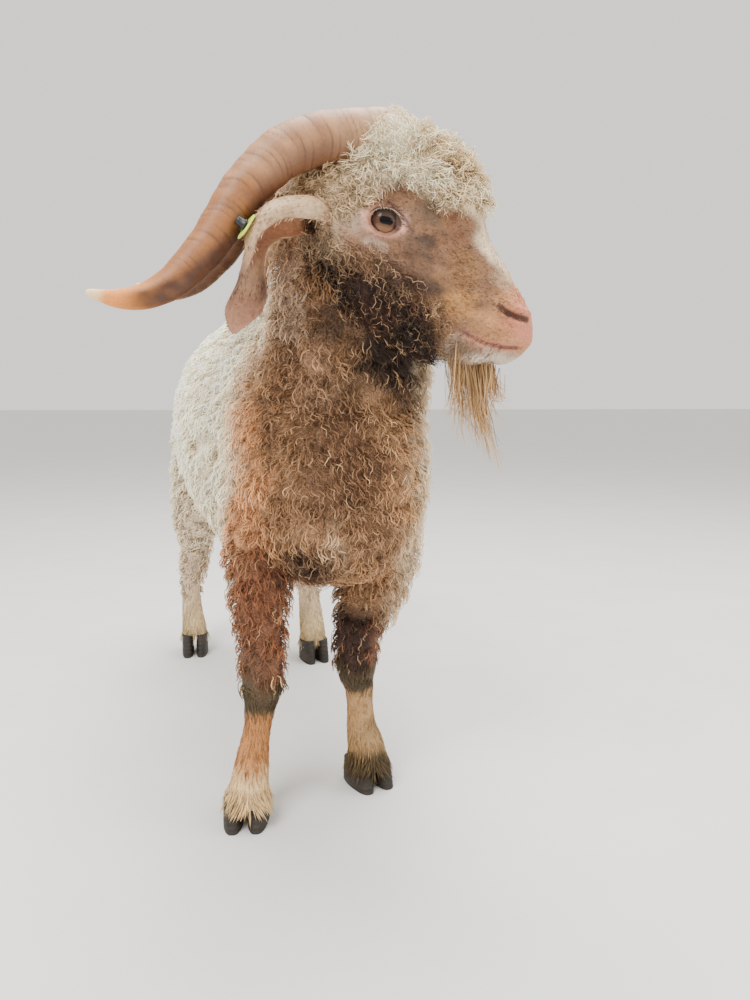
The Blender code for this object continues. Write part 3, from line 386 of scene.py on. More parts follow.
def smooth(rows, count):
    """The rows, resampled at even steps along a curve through them that never overshoots."""
    rows = np.array(rows, float)
    at = np.concatenate([[0.0], np.cumsum(np.linalg.norm(np.diff(rows[:, :3], axis=0), axis=1))])
    rises = np.diff(rows, axis=0) / np.diff(at)[:, None]
    slopes = np.vstack([rises[:1], np.zeros_like(rises[1:]), rises[-1:]])
    same = rises[:-1] * rises[1:] > 0
    sums = np.where(same, rises[:-1] + rises[1:], 1.0)
    slopes[1:-1] = np.where(same, 2 * rises[:-1] * rises[1:] / sums, 0.0)
    places = np.linspace(0.0, at[-1], count)
    i = np.clip(np.searchsorted(at, places, side="right") - 1, 0, len(at) - 2)
    span = (at[i + 1] - at[i])[:, None]
    x = (places - at[i])[:, None] / span
    return (
        rows[i] * (1 + 2 * x) * (1 - x) ** 2
        + slopes[i] * span * x * (1 - x) ** 2
        + rows[i + 1] * x**2 * (3 - 2 * x)
        + slopes[i + 1] * span * x**2 * (x - 1)
    )


def relaxed(path, rounds):
    """The same rows with their corners worn round, ends kept."""
    path = path.copy()
    for _ in range(rounds):
        path[1:-1] = path[1:-1] * 0.5 + (path[:-2] + path[2:]) * 0.25
    return path


def frames(centres, across):
    """Along, side and up directions at each centre of a spine."""
    along = unit(np.gradient(centres, axis=0))
    side = unit(across - (along @ across)[:, None] * along)
    return along, side, np.cross(side, along)


def skinned(rings, first, last):
    """Closes rings of points into one surface with a point at each end, as triangles."""
    count, sides = rings.shape[:2]
    points = np.vstack([rings.reshape(-1, 3), first, last])
    i, j = np.meshgrid(np.arange(count - 1), np.arange(sides), indexing="ij")
    a = (i * sides + j).ravel()
    b = (i * sides + (j + 1) % sides).ravel()
    c, d = a + sides, b + sides
    turn = np.arange(sides)
    after = (turn + 1) % sides
    top = (count - 1) * sides
    faces = np.vstack([
        np.stack([a, c, d], 1),
        np.stack([a, d, b], 1),
        np.stack([np.full(sides, len(points) - 2), turn, after], 1),
        np.stack([np.full(sides, len(points) - 1), top + after, top + turn], 1),
    ])
    return facing_out((points, faces))


def facing_out(shape):
    """The same closed shape with its faces turned out."""
    points, faces = shape
    if np.linalg.det(points[faces]).sum() < 0:
        faces = faces[:, ::-1]
    return points, faces


def tube(rows, sides, steps, across, ends=(0.0, 0.0), power=2.0, wear=0):
    """A closed tube. A row is its centre, half width, height above and below; ends are the domes' lengths."""
    path = relaxed(smooth(rows, steps), wear)
    along = unit(np.gradient(path[:, :3], axis=0))
    domes = ([], [])
    for k, (row, way) in enumerate(((path[0], -along[0]), (path[-1], along[-1]))):
        for turn in np.radians([15.0, 30.0, 45.0, 60.0, 75.0]) if ends[k] else []:
            spot = row[:3] + way * ends[k] * math.sin(turn)
            domes[k].append(np.concatenate([spot, row[3:] * math.cos(turn)]))
    tips = path[0, :3] - along[0] * ends[0], path[-1, :3] + along[-1] * ends[1]
    path = np.array([*domes[0][::-1], *path, *domes[1]])
    _, side, up = frames(path[:, :3], np.array(across, float))
    turns = around(sides)
    wide, high = powered(np.cos(turns), 2 / power), powered(np.sin(turns), 2 / power)
    tall = np.where(high > 0, path[:, 4:5] * high, path[:, 5:6] * high)
    wide = path[:, 3:4] * wide
    rings = path[:, None, :3] + side[:, None] * wide[..., None] + up[:, None] * tall[..., None]
    return skinned(rings, *tips)


def ball(centre, sizes, axes, segments, rings):
    """An ellipsoid with three half sizes along three directions."""
    made = bmesh.new()
    bmesh.ops.create_uvsphere(made, u_segments=segments, v_segments=rings, radius=1.0)
    bmesh.ops.triangulate(made, faces=made.faces)
    points = np.array([v.co for v in made.verts]) * np.array(sizes)
    faces = np.array([[v.index for v in f.verts] for f in made.faces])
    made.free()
    return points @ np.array(axes) + np.array(centre), faces


def headed(shape):
    """A shape of the head's frame in the goat's frame."""
    return from_head(shape[0]), shape[1]


def mirrored(shape):
    """The same shape on the head's other side, still facing out."""
    return shape[0] * MIRROR, shape[1][:, ::-1]


def spun(points, pivot, degrees):
    """Places of the head's frame turned round a pivot, in the plane of f and u."""
    turn = math.radians(degrees)
    spin = np.array([[math.cos(turn), -math.sin(turn), 0], [math.sin(turn), math.cos(turn), 0], [0, 0, 1]])
    return (points - pivot) @ spin + pivot


def joined(shapes):
    """Several shapes as one list of points and faces."""
    points, faces, start = [], [], 0
    for shape in shapes:
        points.append(shape[0])
        faces.append(shape[1] + start)
        start += len(shape[0])
    return np.vstack(points), np.vstack(faces)


def drawn_in(rows, by):
    """Rows of the skin under a coat: each size smaller by the coat's rise, hardly where the hair is short."""
    rows = np.array(rows, float)
    slack = np.clip((rows[:, 3:].min(axis=1) - 0.024) / 0.008, 0.0, 1.0)
    rows[:, 3:] -= (by * slack)[:, None] + SKIN_UNDER
    return rows


def mesh_of(name, shape, colours=None, uv=None, wool=1.0):
    """A mesh object from points and triangles of the goat's frame, with colours and wool at its points."""
    points, faces = shape
    mesh = bpy.data.meshes.new(name)
    mesh.vertices.add(len(points))
    mesh.vertices.foreach_set("co", (np.asarray(points) + SHIFT).astype(np.float32).ravel())
    mesh.loops.add(faces.size)
    mesh.loops.foreach_set("vertex_index", faces.astype(np.int32).ravel())
    mesh.polygons.add(len(faces))
    mesh.polygons.foreach_set("loop_start", np.arange(0, faces.size, 3, dtype=np.int32))
    mesh.update(calc_edges=True)
    mesh.shade_smooth()
    if colours is not None:
        paint = mesh.color_attributes.new("tint", "FLOAT_COLOR", "POINT")
        share = np.broadcast_to(wool, len(colours))
        paint.data.foreach_set("color", np.column_stack([colours, share]).astype(np.float32).ravel())
    if uv is not None:
        layer = mesh.uv_layers.new(name="OFBake")
        layer.data.foreach_set("uv", uv[faces.ravel()].astype(np.float32).ravel())
    made = bpy.data.objects.new(name, mesh)
    bpy.context.scene.collection.objects.link(made)
    return made


def points_of(made):
    """Points, triangles and normals of a mesh object, in the goat's frame."""
    mesh = made.data
    mesh.calc_loop_triangles()
    points, normals = (np.empty((len(mesh.vertices), 3), np.float32) for _ in range(2))
    faces = np.empty((len(mesh.loop_triangles), 3), np.int32)
    mesh.vertices.foreach_get("co", points.ravel())
    mesh.vertices.foreach_get("normal", normals.ravel())
    mesh.loop_triangles.foreach_get("vertices", faces.ravel())
    return points.astype(float) - SHIFT, faces, normals.astype(float)


def settled(made):
    """Swaps an object's mesh for what its modifiers make of it."""
    graph = bpy.context.evaluated_depsgraph_get()
    mesh = bpy.data.meshes.new_from_object(made.evaluated_get(graph))
    made.modifiers.clear()
    made.data = mesh
    return made


def remeshed(made, step, rounds, factor=0.5):
    """One even surface round all the closed shapes of an object, worn smooth."""
    skin = made.modifiers.new("even", "REMESH")
    skin.mode = "VOXEL"
    skin.voxel_size = step
    if rounds:
        soft = made.modifiers.new("soft", "SMOOTH")
        soft.factor = factor
        soft.iterations = rounds
    return settled(made)


def cut_away(made, shape):
    """Takes closed shapes away from an object."""
    tool = mesh_of("tool", shape)
    cut = made.modifiers.new("cut", "BOOLEAN")
    cut.operation = "DIFFERENCE"
    cut.solver = "MANIFOLD"
    cut.object = tool
    settled(made)
    bpy.data.objects.remove(tool)


# The form of the skin


def on_face(point, inset=0.0):
    """The place on the right side of the head over an f and u, moved in by inset."""
    path = smooth(HEAD_ROWS, SPINE_STEPS)
    f, u = point
    row = [np.interp(f, path[:, 0], path[:, k]) for k in range(6)]
    tall = row[4] if u > row[1] else row[5]
    share = min(abs(u - row[1]) / tall, 0.98)
    return np.array([f, u, row[3] * (1 - share**2.2) ** (1 / 2.2) - inset])


def round_tube(line, radii, sides=10, steps=40):
    """A tube with a round section along a line."""
    line = np.asarray(line, float)
    radii = np.broadcast_to(np.asarray(radii, float), len(line))
    return tube(np.column_stack([line, radii, radii, radii]), sides, steps, (0.0, 1.0, 0.0), wear=2)


def face_line(line, front, inset):
    """A line along the right side of the face, round the front and back along the left side."""
    right = np.array([on_face(p, inset) for p in line])
    left = right[::-1] * MIRROR
    return np.vstack([right, [[front[0] - inset, front[1], 0.0]], left])


def eye_frame():
    """The right eye's own directions in the head's frame: level, up and out."""
    out = unit([0.18, 0.10, 1.0])
    level = np.array([0.86, 0.50, 0.0])
    level = unit(level - out * (level @ out))
    return np.array([level, np.cross(out, level), out])


def lid_line(turns, size, lift):
    """Places on a shell over the right eyeball, along the opening of the lids grown by size."""
    level, up, out = eye_frame()
    wide, above, below = LIDS
    high = np.where(np.sin(turns) > 0, above, below) * (1 + 1.5 * (size - 1))
    spread = level * (np.cos(turns) * wide * size)[:, None] + up * (np.sin(turns) * high)[:, None]
    radius = EYE_RADIUS + lift
    deep = np.sqrt(np.maximum(radius**2 - np.sum(spread**2, axis=1), (0.25 * radius) ** 2))
    return np.array(EYE_AT) + spread + out * deep[:, None]


def lid_shapes():
    """The lids round the right eye, with a fold over them and one under them."""
    turns = np.linspace(0, math.tau, 49)
    shapes = []
    for size, lift, thick in LID_SHELLS:
        shapes.append(round_tube(lid_line(turns, size, lift), thick, 10, 120))
    for start, end, size, thick in LID_FOLDS:
        turns = np.radians(np.linspace(start, end, 13))
        shapes.append(round_tube(lid_line(turns, size, 0.0030), thick * np.linspace(1.0, 0.7, 13), 10, 40))
    return shapes


def face_shapes():
    """What is joined to the head and what is cut from it, in the head's frame."""
    more = []
    for rise in (-LIP_RISE, LIP_RISE):
        line = [(f - 0.002, u + rise) for f, u in MOUTH_LINE[1:]]
        path = face_line(line, (MOUTH_FRONT[0] - 0.002, MOUTH_FRONT[1] + rise), 0.0046 * 0.80)
        more.append(round_tube(path, LIP_RADIUS * np.array([0.6, *[1.0] * (len(path) - 2), 0.6]), 12, 60))
    for lift, radii in NOSTRIL_RIMS:
        line = [on_face((f, u + lift), 0.0016) for f, u, _ in NOSTRIL_LINE]
        more.append(round_tube(line, radii, 12, 30))
        more.append(mirrored(more[-1]))
    brow = ball((0.000, 0.008, 0.0385), (0.027, 0.022, 0.0145), np.eye(3), 32, 20)
    bone = [(0.012, -0.019, 0.040), (0.045, -0.012, 0.037), (0.080, -0.008, 0.029)]
    bone = round_tube(bone, (0.012, 0.011, 0.007))
    for shape in (brow, bone, horn_cuff(), *lid_shapes()):
        more += [shape, mirrored(shape)]
    open_by = [p[2] * 1.05 + 0.0006 for p in NOSTRIL_LINE]
    nostril = round_tube([on_face(p[:2], -0.0004) for p in NOSTRIL_LINE], open_by, 10, 30)
    eye = ball(EYE_AT, [EYE_RADIUS - 0.0006] * 3, np.eye(3), 40, 24)
    mouth = round_tube(face_line(MOUTH_LINE, MOUTH_FRONT, 0.0), 0.0020, 8, 80)
    philtrum = round_tube([(0.1835, 0.024, 0.0), (0.1830, 0.018, 0.0), (0.1835, 0.012, 0.0)], 0.0011, 8, 20)
    return more, [nostril, mirrored(nostril), eye, mirrored(eye), mouth, philtrum]


def horn_cuff():
    """The wool's core round the root of the right horn, cut level so that it is longest underneath."""
    path = smooth(HORN_ROWS, SPINE_STEPS)[:15]
    path[:, 3:] += 0.0015
    points, faces = tube(path, 32, 44, (0, 0, 1), (0.0, 0.004))
    nearest = np.linalg.norm(points[:, None] - path[None, :, :3], axis=2).argmin(axis=1)
    axis = path[nearest, :3]
    share = 1 - 0.25 * ease(-0.054, -0.059, points[:, 0])
    return axis + (points - axis) * share[:, None], faces


def head_skin():
    """The head alone: its form with brows, lids, lips and nostrils, at a fine step."""
    rows = np.array(HEAD_ROWS)
    rows[:, 3:] -= SKIN_UNDER
    head = tube(rows, 64, 90, (0, 0, 1), (0.02, 0.010), 2.2, wear=12)
    more, cut = face_shapes()
    made = mesh_of("head_part", joined([headed(s) for s in (head, *more)]))
    remeshed(made, HEAD_STEP, 3)
    for shape in cut:
        cut_away(made, headed(shape))
    return remeshed(made, HEAD_STEP, 1)


def body_skin():
    """The trunk, neck, tail and legs in one surface."""
    shapes = [
        tube(drawn_in(TRUNK_ROWS[1:], TRUNK_COAT), 48, 60, (1, 0, 0), (0.006, 0.016), 2.2, wear=4),
        tube(drawn_in(NECK_ROWS, NECK_COAT), 40, 40, (1, 0, 0), (0.01, 0.02), 2.0, wear=3),
        tube(drawn_in(TAIL_ROWS, 0.006), 20, 24, (1, 0, 0), (0.0, 0.010)),
    ]
    for name, rows in LEG_ROWS.items():
        x, y, _, *sizes = rows[-1]
        rows = [*rows, (x, y, HOOVES[name][3] - 0.006, *np.array(sizes) * 0.93)]
        shapes.append(tube(drawn_in(rows, LEG_COAT), 28, 60, (1, 0, 0), (0.0, 0.002), 2.1, wear=2))
    made = mesh_of("body_part", joined(shapes))
    return remeshed(made, SKIN_STEP, 8)


# Where each place on the skin belongs

PARTS = ("trunk", "neck", "tail", *LEG_ROWS, "head")
TAIL_PART = 2
FIRST_LEG = 3
LAST_FORELEG = 4
HEAD_PART = len(PARTS) - 1
# The atlas has a row of tiles for each part and one for the ears
ATLAS_ROWS = len(PARTS) + 1


def spine_rows():
    """Rows of each part in one table: its centre, mean half size and number."""
    table = []
    for k, rows in enumerate((TRUNK_ROWS, NECK_ROWS, TAIL_ROWS, *LEG_ROWS.values())):
        path = smooth(rows, 40)
        size = path[:, 3:].mean(axis=1)
        table.append(np.column_stack([path[:, :3], size, np.full(40, k)]))
    return np.vstack(table)


SPINES = spine_rows()


def part_of(points):
    """The number in PARTS that each point of the body's skin belongs to."""
    best = np.empty(len(points), int)
    for start in range(0, len(points), 4000):
        some = points[start:start + 4000]
        away = np.linalg.norm(some[:, None] - SPINES[None, :, :3], axis=2) / SPINES[None, :, 3]
        best[start:start + 4000] = SPINES[away.argmin(axis=1), 4]
    return best


def atlas(points, normals, parts):
    """Places on an unwrap of the skin: each part has six tiles, one for each way that its skin faces."""
    facing = np.abs(normals).argmax(axis=1)
    behind = normals[np.arange(len(normals)), facing] < 0
    column = facing * 2 + behind
    found = np.empty((len(points), 2))
    for part in np.unique(parts):
        mine = parts == part
        low, high = points[mine].min(axis=0), points[mine].max(axis=0)
        share = (points[mine] - low) / np.maximum(high - low, 1e-6)
        pairs = np.array([(1, 2), (0, 2), (0, 1)])[facing[mine]]
        some = np.take_along_axis(share, pairs, axis=1)
        tile = np.stack([column[mine], np.full(mine.sum(), part)], 1)
        found[mine] = (tile + 0.02 + 0.94 * some) / np.array([6.0, ATLAS_ROWS])
    return found


def head_atlas(points, normals):
    """Places on the unwrap for strands that are rooted on the head."""
    return atlas(points, normals, np.full(len(points), HEAD_PART))


# Colours of the coat and skin, the same for both

WHITE = srgb(255, 242, 214)
GREY = srgb(208, 184, 158)
CREAM = srgb(228, 204, 172)
TAN = srgb(186, 144, 106)
ORANGE = srgb(226, 166, 118)
RUST = srgb(128, 80, 54)
BROWN = srgb(108, 76, 54)
DARK = srgb(42, 24, 16)
MUD = srgb(68, 54, 29)
PINK = srgb(200, 140, 118)
FACE_TAN = srgb(132, 98, 74)


def marked(colour, places, marks, *noises):
    """Colours with marks laid on, full near their middles and gone a little past their half sizes."""
    for middle, sizes, mark, strength in marks:
        away = np.linalg.norm((places - np.array(middle)) / np.array(sizes), axis=1)
        colour = blend(colour, mark, held(ease(1.25, 0.45, sum(noises, away)) * strength))
    return colour


# Marks on the front of the body: middle, half sizes, colour and strength
BODY_MARKS = (
    ((-0.088, 0.000, 0.400), (0.055, 0.080, 0.130), ORANGE, 0.95),
    ((-0.068, -0.030, 0.270), (0.060, 0.080, 0.080), RUST, 0.95),
    ((0.012, -0.105, 0.425), (0.050, 0.060, 0.075), BROWN, 0.85),
    ((0.044, -0.090, 0.350), (0.034, 0.060, 0.036), BROWN, 0.40),
    ((0.006, -0.100, 0.345), (0.012, 0.050, 0.034), CREAM, 0.35),
    ((-0.019, -0.080, 0.300), (0.040, 0.070, 0.050), srgb(56, 36, 26), 0.90),
    ((-0.034, -0.100, 0.575), (0.013, 0.060, 0.050), srgb(206, 178, 152), 0.70),
    ((-0.012, -0.105, 0.512), (0.022, 0.060, 0.050), srgb(180, 142, 112), 0.75),
    ((0.062, -0.090, 0.530), (0.064, 0.070, 0.056), srgb(36, 20, 13), 0.97),
    ((0.004, -0.110, 0.566), (0.024, 0.050, 0.040), DARK, 0.75),
    ((-0.066, -0.070, 0.570), (0.022, 0.080, 0.060), DARK, 0.60),
)


def front_colour(p, patch, fine):
    """Colours of the stained wool of the chest, throat and shoulders."""
    x, _, z = p.T
    # Pale cream wool on the left side of the chest, widened in part to stand for a painted rim highlight
    pale = ease(0.076, 0.112, x + 0.012 * fine) * ease(0.15, 0.22, z) * ease(0.58, 0.50, z)
    stain = blend(TAN, BROWN, held(0.35 + 0.35 * patch + 0.20 * fine))
    return blend(marked(stain, p, BODY_MARKS, 0.22 * fine), CREAM, pale * 0.95)


def foreleg_colour(x, z, patch, fine):
    """Colours of the forelegs: rusty wool, muddy knees, tan cannons and dirt over the left hoof."""
    right, left = ease(0.0, -0.02, x), ease(0.0, 0.02, x)
    cannon = blend(srgb(166, 114, 70), srgb(164, 130, 90), ease(0.0, 0.07, x))
    return layered(
        RUST,
        (BROWN, held(0.35 + 0.4 * patch)),
        (DARK, ease(0.020, 0.040, x) * ease(0.082, 0.064, x) * ease(0.13, 0.17, z) * 0.9),
        (CREAM, ease(0.078, 0.100, x) * ease(0.15, 0.20, z)),
        (MUD, held(ease(0.185, 0.165, z) + 0.2 * fine) * ease(0.185, 0.175, z)),
        (cannon, ease(0.140, 0.120, z + 0.008 * fine)),
        (MUD, held(0.4 * patch + 0.5 * fine - 0.1) * 0.5),
        (srgb(218, 186, 140), ease(0.080, 0.050, z + 0.008 * fine) * right * 0.95),
        (MUD, ease(0.062, 0.042, z + 0.006 * fine) * left * 0.95),
        (TAN, ease(0.026, 0.016, z) * right * 0.8),
    )


def body_colour(p):
    """Colours of the neck, trunk, tail and legs at points of the goat's frame."""
    x, y, z = p.T
    patch, fine = ripple(p, 0.085, 1), ripple(p, 0.022, 2)
    border = 0.050 * ease(0.42, 0.29, z) - 0.5 * np.maximum(z - 0.50, 0)
    border = border + 0.07 * ease(0.05, 0.09, x) * ease(0.45, 0.49, z)
    colour = layered(
        WHITE,
        (GREY, held(ease(0.44, 0.28, z) * 0.75 + 0.15 * patch)),
        (CREAM, held(0.25 + 0.3 * fine) * 0.5),
        (front_colour(p, patch, fine), ease(0.042, -0.036, y - border + 0.012 * fine + 0.010 * patch)),
    )
    fore = (y < 0.20) & (z < 0.27)
    low = foreleg_colour(x, z, patch, fine)
    colour = np.where(fore[:, None], blend(colour, low, ease(0.265, 0.225, z)), colour)
    hind = (y > 0.38) & (z < 0.24)
    rear = blend(GREY, srgb(196, 172, 132), ease(0.14, 0.05, z))
    rear = blend(rear, srgb(150, 128, 92), held(0.5 * patch + 0.5 * fine - 0.1) * 0.6)
    return vivid(np.where(hind[:, None], blend(colour, rear, ease(0.24, 0.18, z)), colour))


def eye_distance(q):
    """How far places of the head are from the nearer eye's middle, as if the lids opened as high as wide."""
    level, up, _ = eye_frame()
    spread = np.column_stack([q[:, :2], np.abs(q[:, 2])]) - np.array(EYE_AT)
    near = np.hypot(spread @ level, spread @ up * LIDS[0] / LIDS[1])
    return near + 0.03 * (np.abs(q[:, 2]) < 0.022)


def stroke(q, line):
    """How far places of the head are from a line in f and u, seen from the side."""
    line = np.array(line, float)
    away = np.full(len(q), np.inf)
    for a, b in zip(line[:-1], line[1:]):
        share = np.clip(((q[:, :2] - a) @ (b - a)) / max((b - a) @ (b - a), 1e-12), 0, 1)
        away = np.minimum(away, np.linalg.norm(q[:, :2] - a - share[:, None] * (b - a), axis=1))
    return away


# Marks on the face: middle f and u, half sizes, colour and strength
FACE_MARKS = (
    ((0.056, 0.041), (0.024, 0.017), srgb(122, 84, 58), 0.85),
    ((0.086, 0.028), (0.024, 0.013), srgb(128, 94, 64), 0.80),
    ((0.026, 0.034), (0.018, 0.010), srgb(104, 84, 66), 0.75),
    ((0.042, 0.017), (0.009, 0.006), srgb(58, 44, 38), 0.75),
    ((0.040, 0.006), (0.018, 0.005), srgb(84, 64, 50), 0.60),
    ((0.062, -0.006), (0.028, 0.012), srgb(92, 66, 48), 0.80),
    ((0.092, 0.014), (0.026, 0.018), srgb(140, 102, 68), 0.75),
    ((0.089, -0.005), (0.009, 0.005), srgb(54, 38, 30), 0.75),
    ((0.074, -0.010), (0.009, 0.006), srgb(66, 46, 34), 0.65),
    ((0.110, 0.000), (0.022, 0.016), srgb(158, 114, 72), 0.85),
    ((0.004, -0.018), (0.022, 0.009), srgb(206, 178, 158), 0.75),
    ((-0.026, -0.008), (0.016, 0.022), srgb(186, 164, 140), 0.90),
    ((0.018, -0.021), (0.014, 0.006), srgb(104, 84, 66), 0.70),
)
# f and u along the fold over the eye, where painted shade darkens the crease
SHADED_CREASE = ((-0.006, 0.0175), (0.008, 0.0172), (0.016, 0.0158), (0.026, 0.0125))


def face_colour(q, patch, fine):
    """Colours of the short hair and bare skin of the face."""
    f, u, r = q.T
    colour = blend(FACE_TAN, BROWN, held(0.20 + 0.40 * patch + 0.25 * fine) * 0.6)
    colour = marked(colour, q[:, :2], FACE_MARKS, 0.25 * fine, 0.30 * ripple(q, 0.006, 19))
    side_edge = np.interp(f, (0.048, 0.059, 0.078, 0.097, 0.125), (0.064, 0.058, 0.050, 0.043, 0.036))
    bridge = ease(-0.005, 0.007, u - side_edge + 0.005 * fine) * ease(0.03, 0.05, f)
    away = eye_distance(q)
    side = ease(0.02, 0.035, np.abs(r))
    rim = ease(0.0165, 0.0145, away) * side
    over = u - EYE_AT[1]
    nose = ease(0.134, 0.150, f + 0.25 * (u - 0.02)) * ease(0.006, 0.016, u - 0.1 * (f - 0.15))
    chin = ease(0.000, -0.012, u - 0.42 * (f - 0.144) + 0.006) * ease(0.105, 0.125, f)
    chin_hair = blend(srgb(216, 200, 182), srgb(116, 94, 74), held(0.45 + 0.55 * fine))
    lip, nostril = stroke(q, MOUTH_LINE), stroke(q, [p[:2] for p in NOSTRIL_LINE])
    return layered(
        colour,
        (CREAM, held(bridge * (0.95 + 0.15 * fine))),
        (srgb(190, 158, 140), ease(0.027, 0.018, away + 0.004 * fine) * side * 0.85),
        (PINK, ease(0.0215, 0.0170, away) * side * 0.6),
        (srgb(52, 34, 30), rim * ease(-0.008, 0.002, over) * 0.95),
        (srgb(132, 84, 68), rim * ease(0.002, -0.008, over) * 0.8),
        # Painted shade in the crease over the eye
        (srgb(76, 52, 48), ease(0.0024, 0.0008, stroke(q, SHADED_CREASE)) * side * 0.85),
        (srgb(168, 120, 84), ease(0.116, 0.142, f + 0.15 * u + 0.004 * fine)),
        (srgb(192, 124, 98), nose * 0.85),
        (chin_hair, chin * 0.9),
        (srgb(176, 116, 96), ease(0.0062, 0.0028, lip) * ease(0.115, 0.130, f) * 0.55),
        # Painted shade in the groove of the mouth
        (srgb(96, 52, 46), ease(0.0022, 0.0012, lip) * ease(0.112, 0.122, f) * 0.75),
        # Painted shade inside the nostrils
        (srgb(50, 22, 19), ease(0.0036, 0.0022, nostril) * ease(0.120, 0.126, f) * 0.9),
    )


def head_colour(q):
    """Colours of the head at points of the head's frame."""
    f, u, r = q.T
    patch, fine = ripple(q, 0.045, 3), ripple(q, 0.012, 4)
    top = blend(srgb(246, 230, 200), srgb(216, 184, 140), held(0.20 + 0.35 * patch + 0.2 * fine))
    top = blend(top, srgb(186, 156, 120), ease(0.045, 0.000, u) * ease(0.01, -0.02, f) * 0.8)
    deep = blend(DARK, srgb(64, 38, 26), held(0.25 + 0.45 * fine + 0.3 * patch))
    wool = layered(
        srgb(142, 108, 80),
        (srgb(186, 160, 130), ease(0.0, -0.035, f)),
        (srgb(64, 40, 29), held(0.35 + 0.5 * fine + 0.3 * patch)),
        (deep, ease(0.006, -0.010, u - dark_edge(f) + 0.004 * fine)),
    )
    colour = layered(face_colour(q, patch, fine), (top, crown_share(q)), (wool, cheek_share(q)))
    along = np.column_stack([0.28 * (0.9 * f + 0.43 * u), 0.9 * u - 0.43 * f, r])
    streak = ripple(along, 0.0042, 20) * (1 - ease(0.140, 0.155, f))
    return vivid(colour * (1 + 0.17 * streak)[:, None])


def dark_edge(f):
    """The u of the top of the darkest wool on the cheek."""
    at = (-0.06, -0.03, -0.006, 0.016, 0.047, 0.082, 0.113)
    return np.interp(f, at, (-0.052, -0.048, -0.044, -0.038, -0.032, -0.030, -0.040))


def cheek_share(q):
    """How far a place on the head is under the dark wool of the cheeks and jaw."""
    f, u, _ = q.T
    at = (-0.06, -0.03, 0.0, 0.023, 0.055, 0.090, 0.108, 0.125)
    edge = np.interp(f, at, (-0.024, -0.026, -0.024, -0.016, -0.010, -0.014, -0.030, -0.050))
    return ease(0.005, -0.007, u - edge + 0.004 * ripple(q, 0.02, 5)) * ease(0.124, 0.110, f)


def crown_share(q):
    """How far a place on the head is under the pale wool of the crown and the back of the head."""
    f, u, _ = q.T
    at = (-0.06, -0.040, -0.026, -0.018, -0.010, 0.006, 0.024, 0.042, 0.060, 0.072)
    edge = np.interp(f, at, (-0.046, -0.034, -0.022, 0.008, 0.030, 0.037, 0.044, 0.056, 0.070, 0.09))
    return ease(-0.004, 0.010, u - edge + 0.003 * ripple(q, 0.02, 6)) * ease(0.080, 0.064, f)


# The coat: locks that march over the skin


MARCH_STEPS = 8
# A curled strand's width along its length, and its painted shading from root to tip: painted shade at the root
# deep in the coat, painted light at the tip
CURL_PROFILE = ((0, 0.15, 0.7, 0.92, 1), (0.75, 1.0, 0.9, 0.6, 0.25))
CURL_PAINTED_SHADING = (0.62, 0.90, 1.05, 1.12)


class Ground:
    """A skin to root locks in, with its triangles, their sizes and a search for the nearest place."""

    def __init__(self, made):
        self.points, self.faces, self.normals = points_of(made)
        corners = self.points[self.faces]
        cross = np.cross(corners[:, 1] - corners[:, 0], corners[:, 2] - corners[:, 0])
        self.area = np.linalg.norm(cross, axis=1) / 2
        self.centre = corners.mean(axis=1)
        self.tree = BVHTree.FromPolygons(self.points.tolist(), self.faces.tolist())

    def roots(self, weight, count, random):
        """Evenly spread places on the triangles, as dense as the weight of each, and the ways out there."""
        total = np.cumsum(self.area * weight)
        picks = (np.arange(count) + random.uniform(0.1, 0.9, count)) / count * total[-1]
        i = np.minimum(np.searchsorted(total, picks), len(total) - 1)
        a, b = random.uniform(0, 1, count), random.uniform(0, 1, count)
        over = a + b > 1
        a, b = np.where(over, 1 - a, a), np.where(over, 1 - b, b)
        shares = np.stack([1 - a - b, a, b], 1)[..., None]
        places = (self.points[self.faces[i]] * shares).sum(axis=1)
        ways = (self.normals[self.faces[i]] * shares).sum(axis=1)
        return places, unit(ways)

    def nearest(self, points):
        """The nearest place on the skin to each point, and the way out of it."""
        found = [self.tree.find_nearest(Vector(p)) for p in points]
        return np.array([f[0][:] for f in found]), np.array([f[1][:] for f in found])


def march(ground, roots, ways, lie, length, depth):
    """Spines of locks that rise from the skin and run along the lie. Gives their points and ways out."""
    spine, outs = np.empty((2, len(roots), MARCH_STEPS, 3))
    at, out = roots.copy(), ways.copy()
    for k in range(MARCH_STEPS):
        share = k / (MARCH_STEPS - 1)
        rise = depth * (1 - (1 - min(share * 1.2, 1.0)) ** 2.0) * (1 - 0.25 * max(share - 0.6, 0) / 0.4)
        spine[:, k] = at + out * (rise - 0.002 * (1 - share))[:, None]
        outs[:, k] = out
        way = lie - out * np.sum(lie * out, axis=1, keepdims=True)
        lost = np.linalg.norm(way, axis=1) < 0.08
        way[lost] = np.cross(out[lost], np.array([0.0, 1.0, 0.15]))
        at = at + unit(way) * (length / (MARCH_STEPS - 1) * min(1.0, 0.35 + 1.6 * share))[:, None]
        at, hit = ground.nearest(at)
        out = unit(out * 0.6 + hit * 0.4)
    return spine, outs


def along_spine(values, shares):
    """Values of each lock's spine at a strand's own shares of its length."""
    last = values.shape[1] - 1
    place = np.clip(shares * last, 0, last - 1e-6)
    i = place.astype(int)
    rows = np.arange(len(values))[:, None]
    part = (place - i)[..., None]
    return values[rows, i] * (1 - part) + values[rows, i + 1] * part


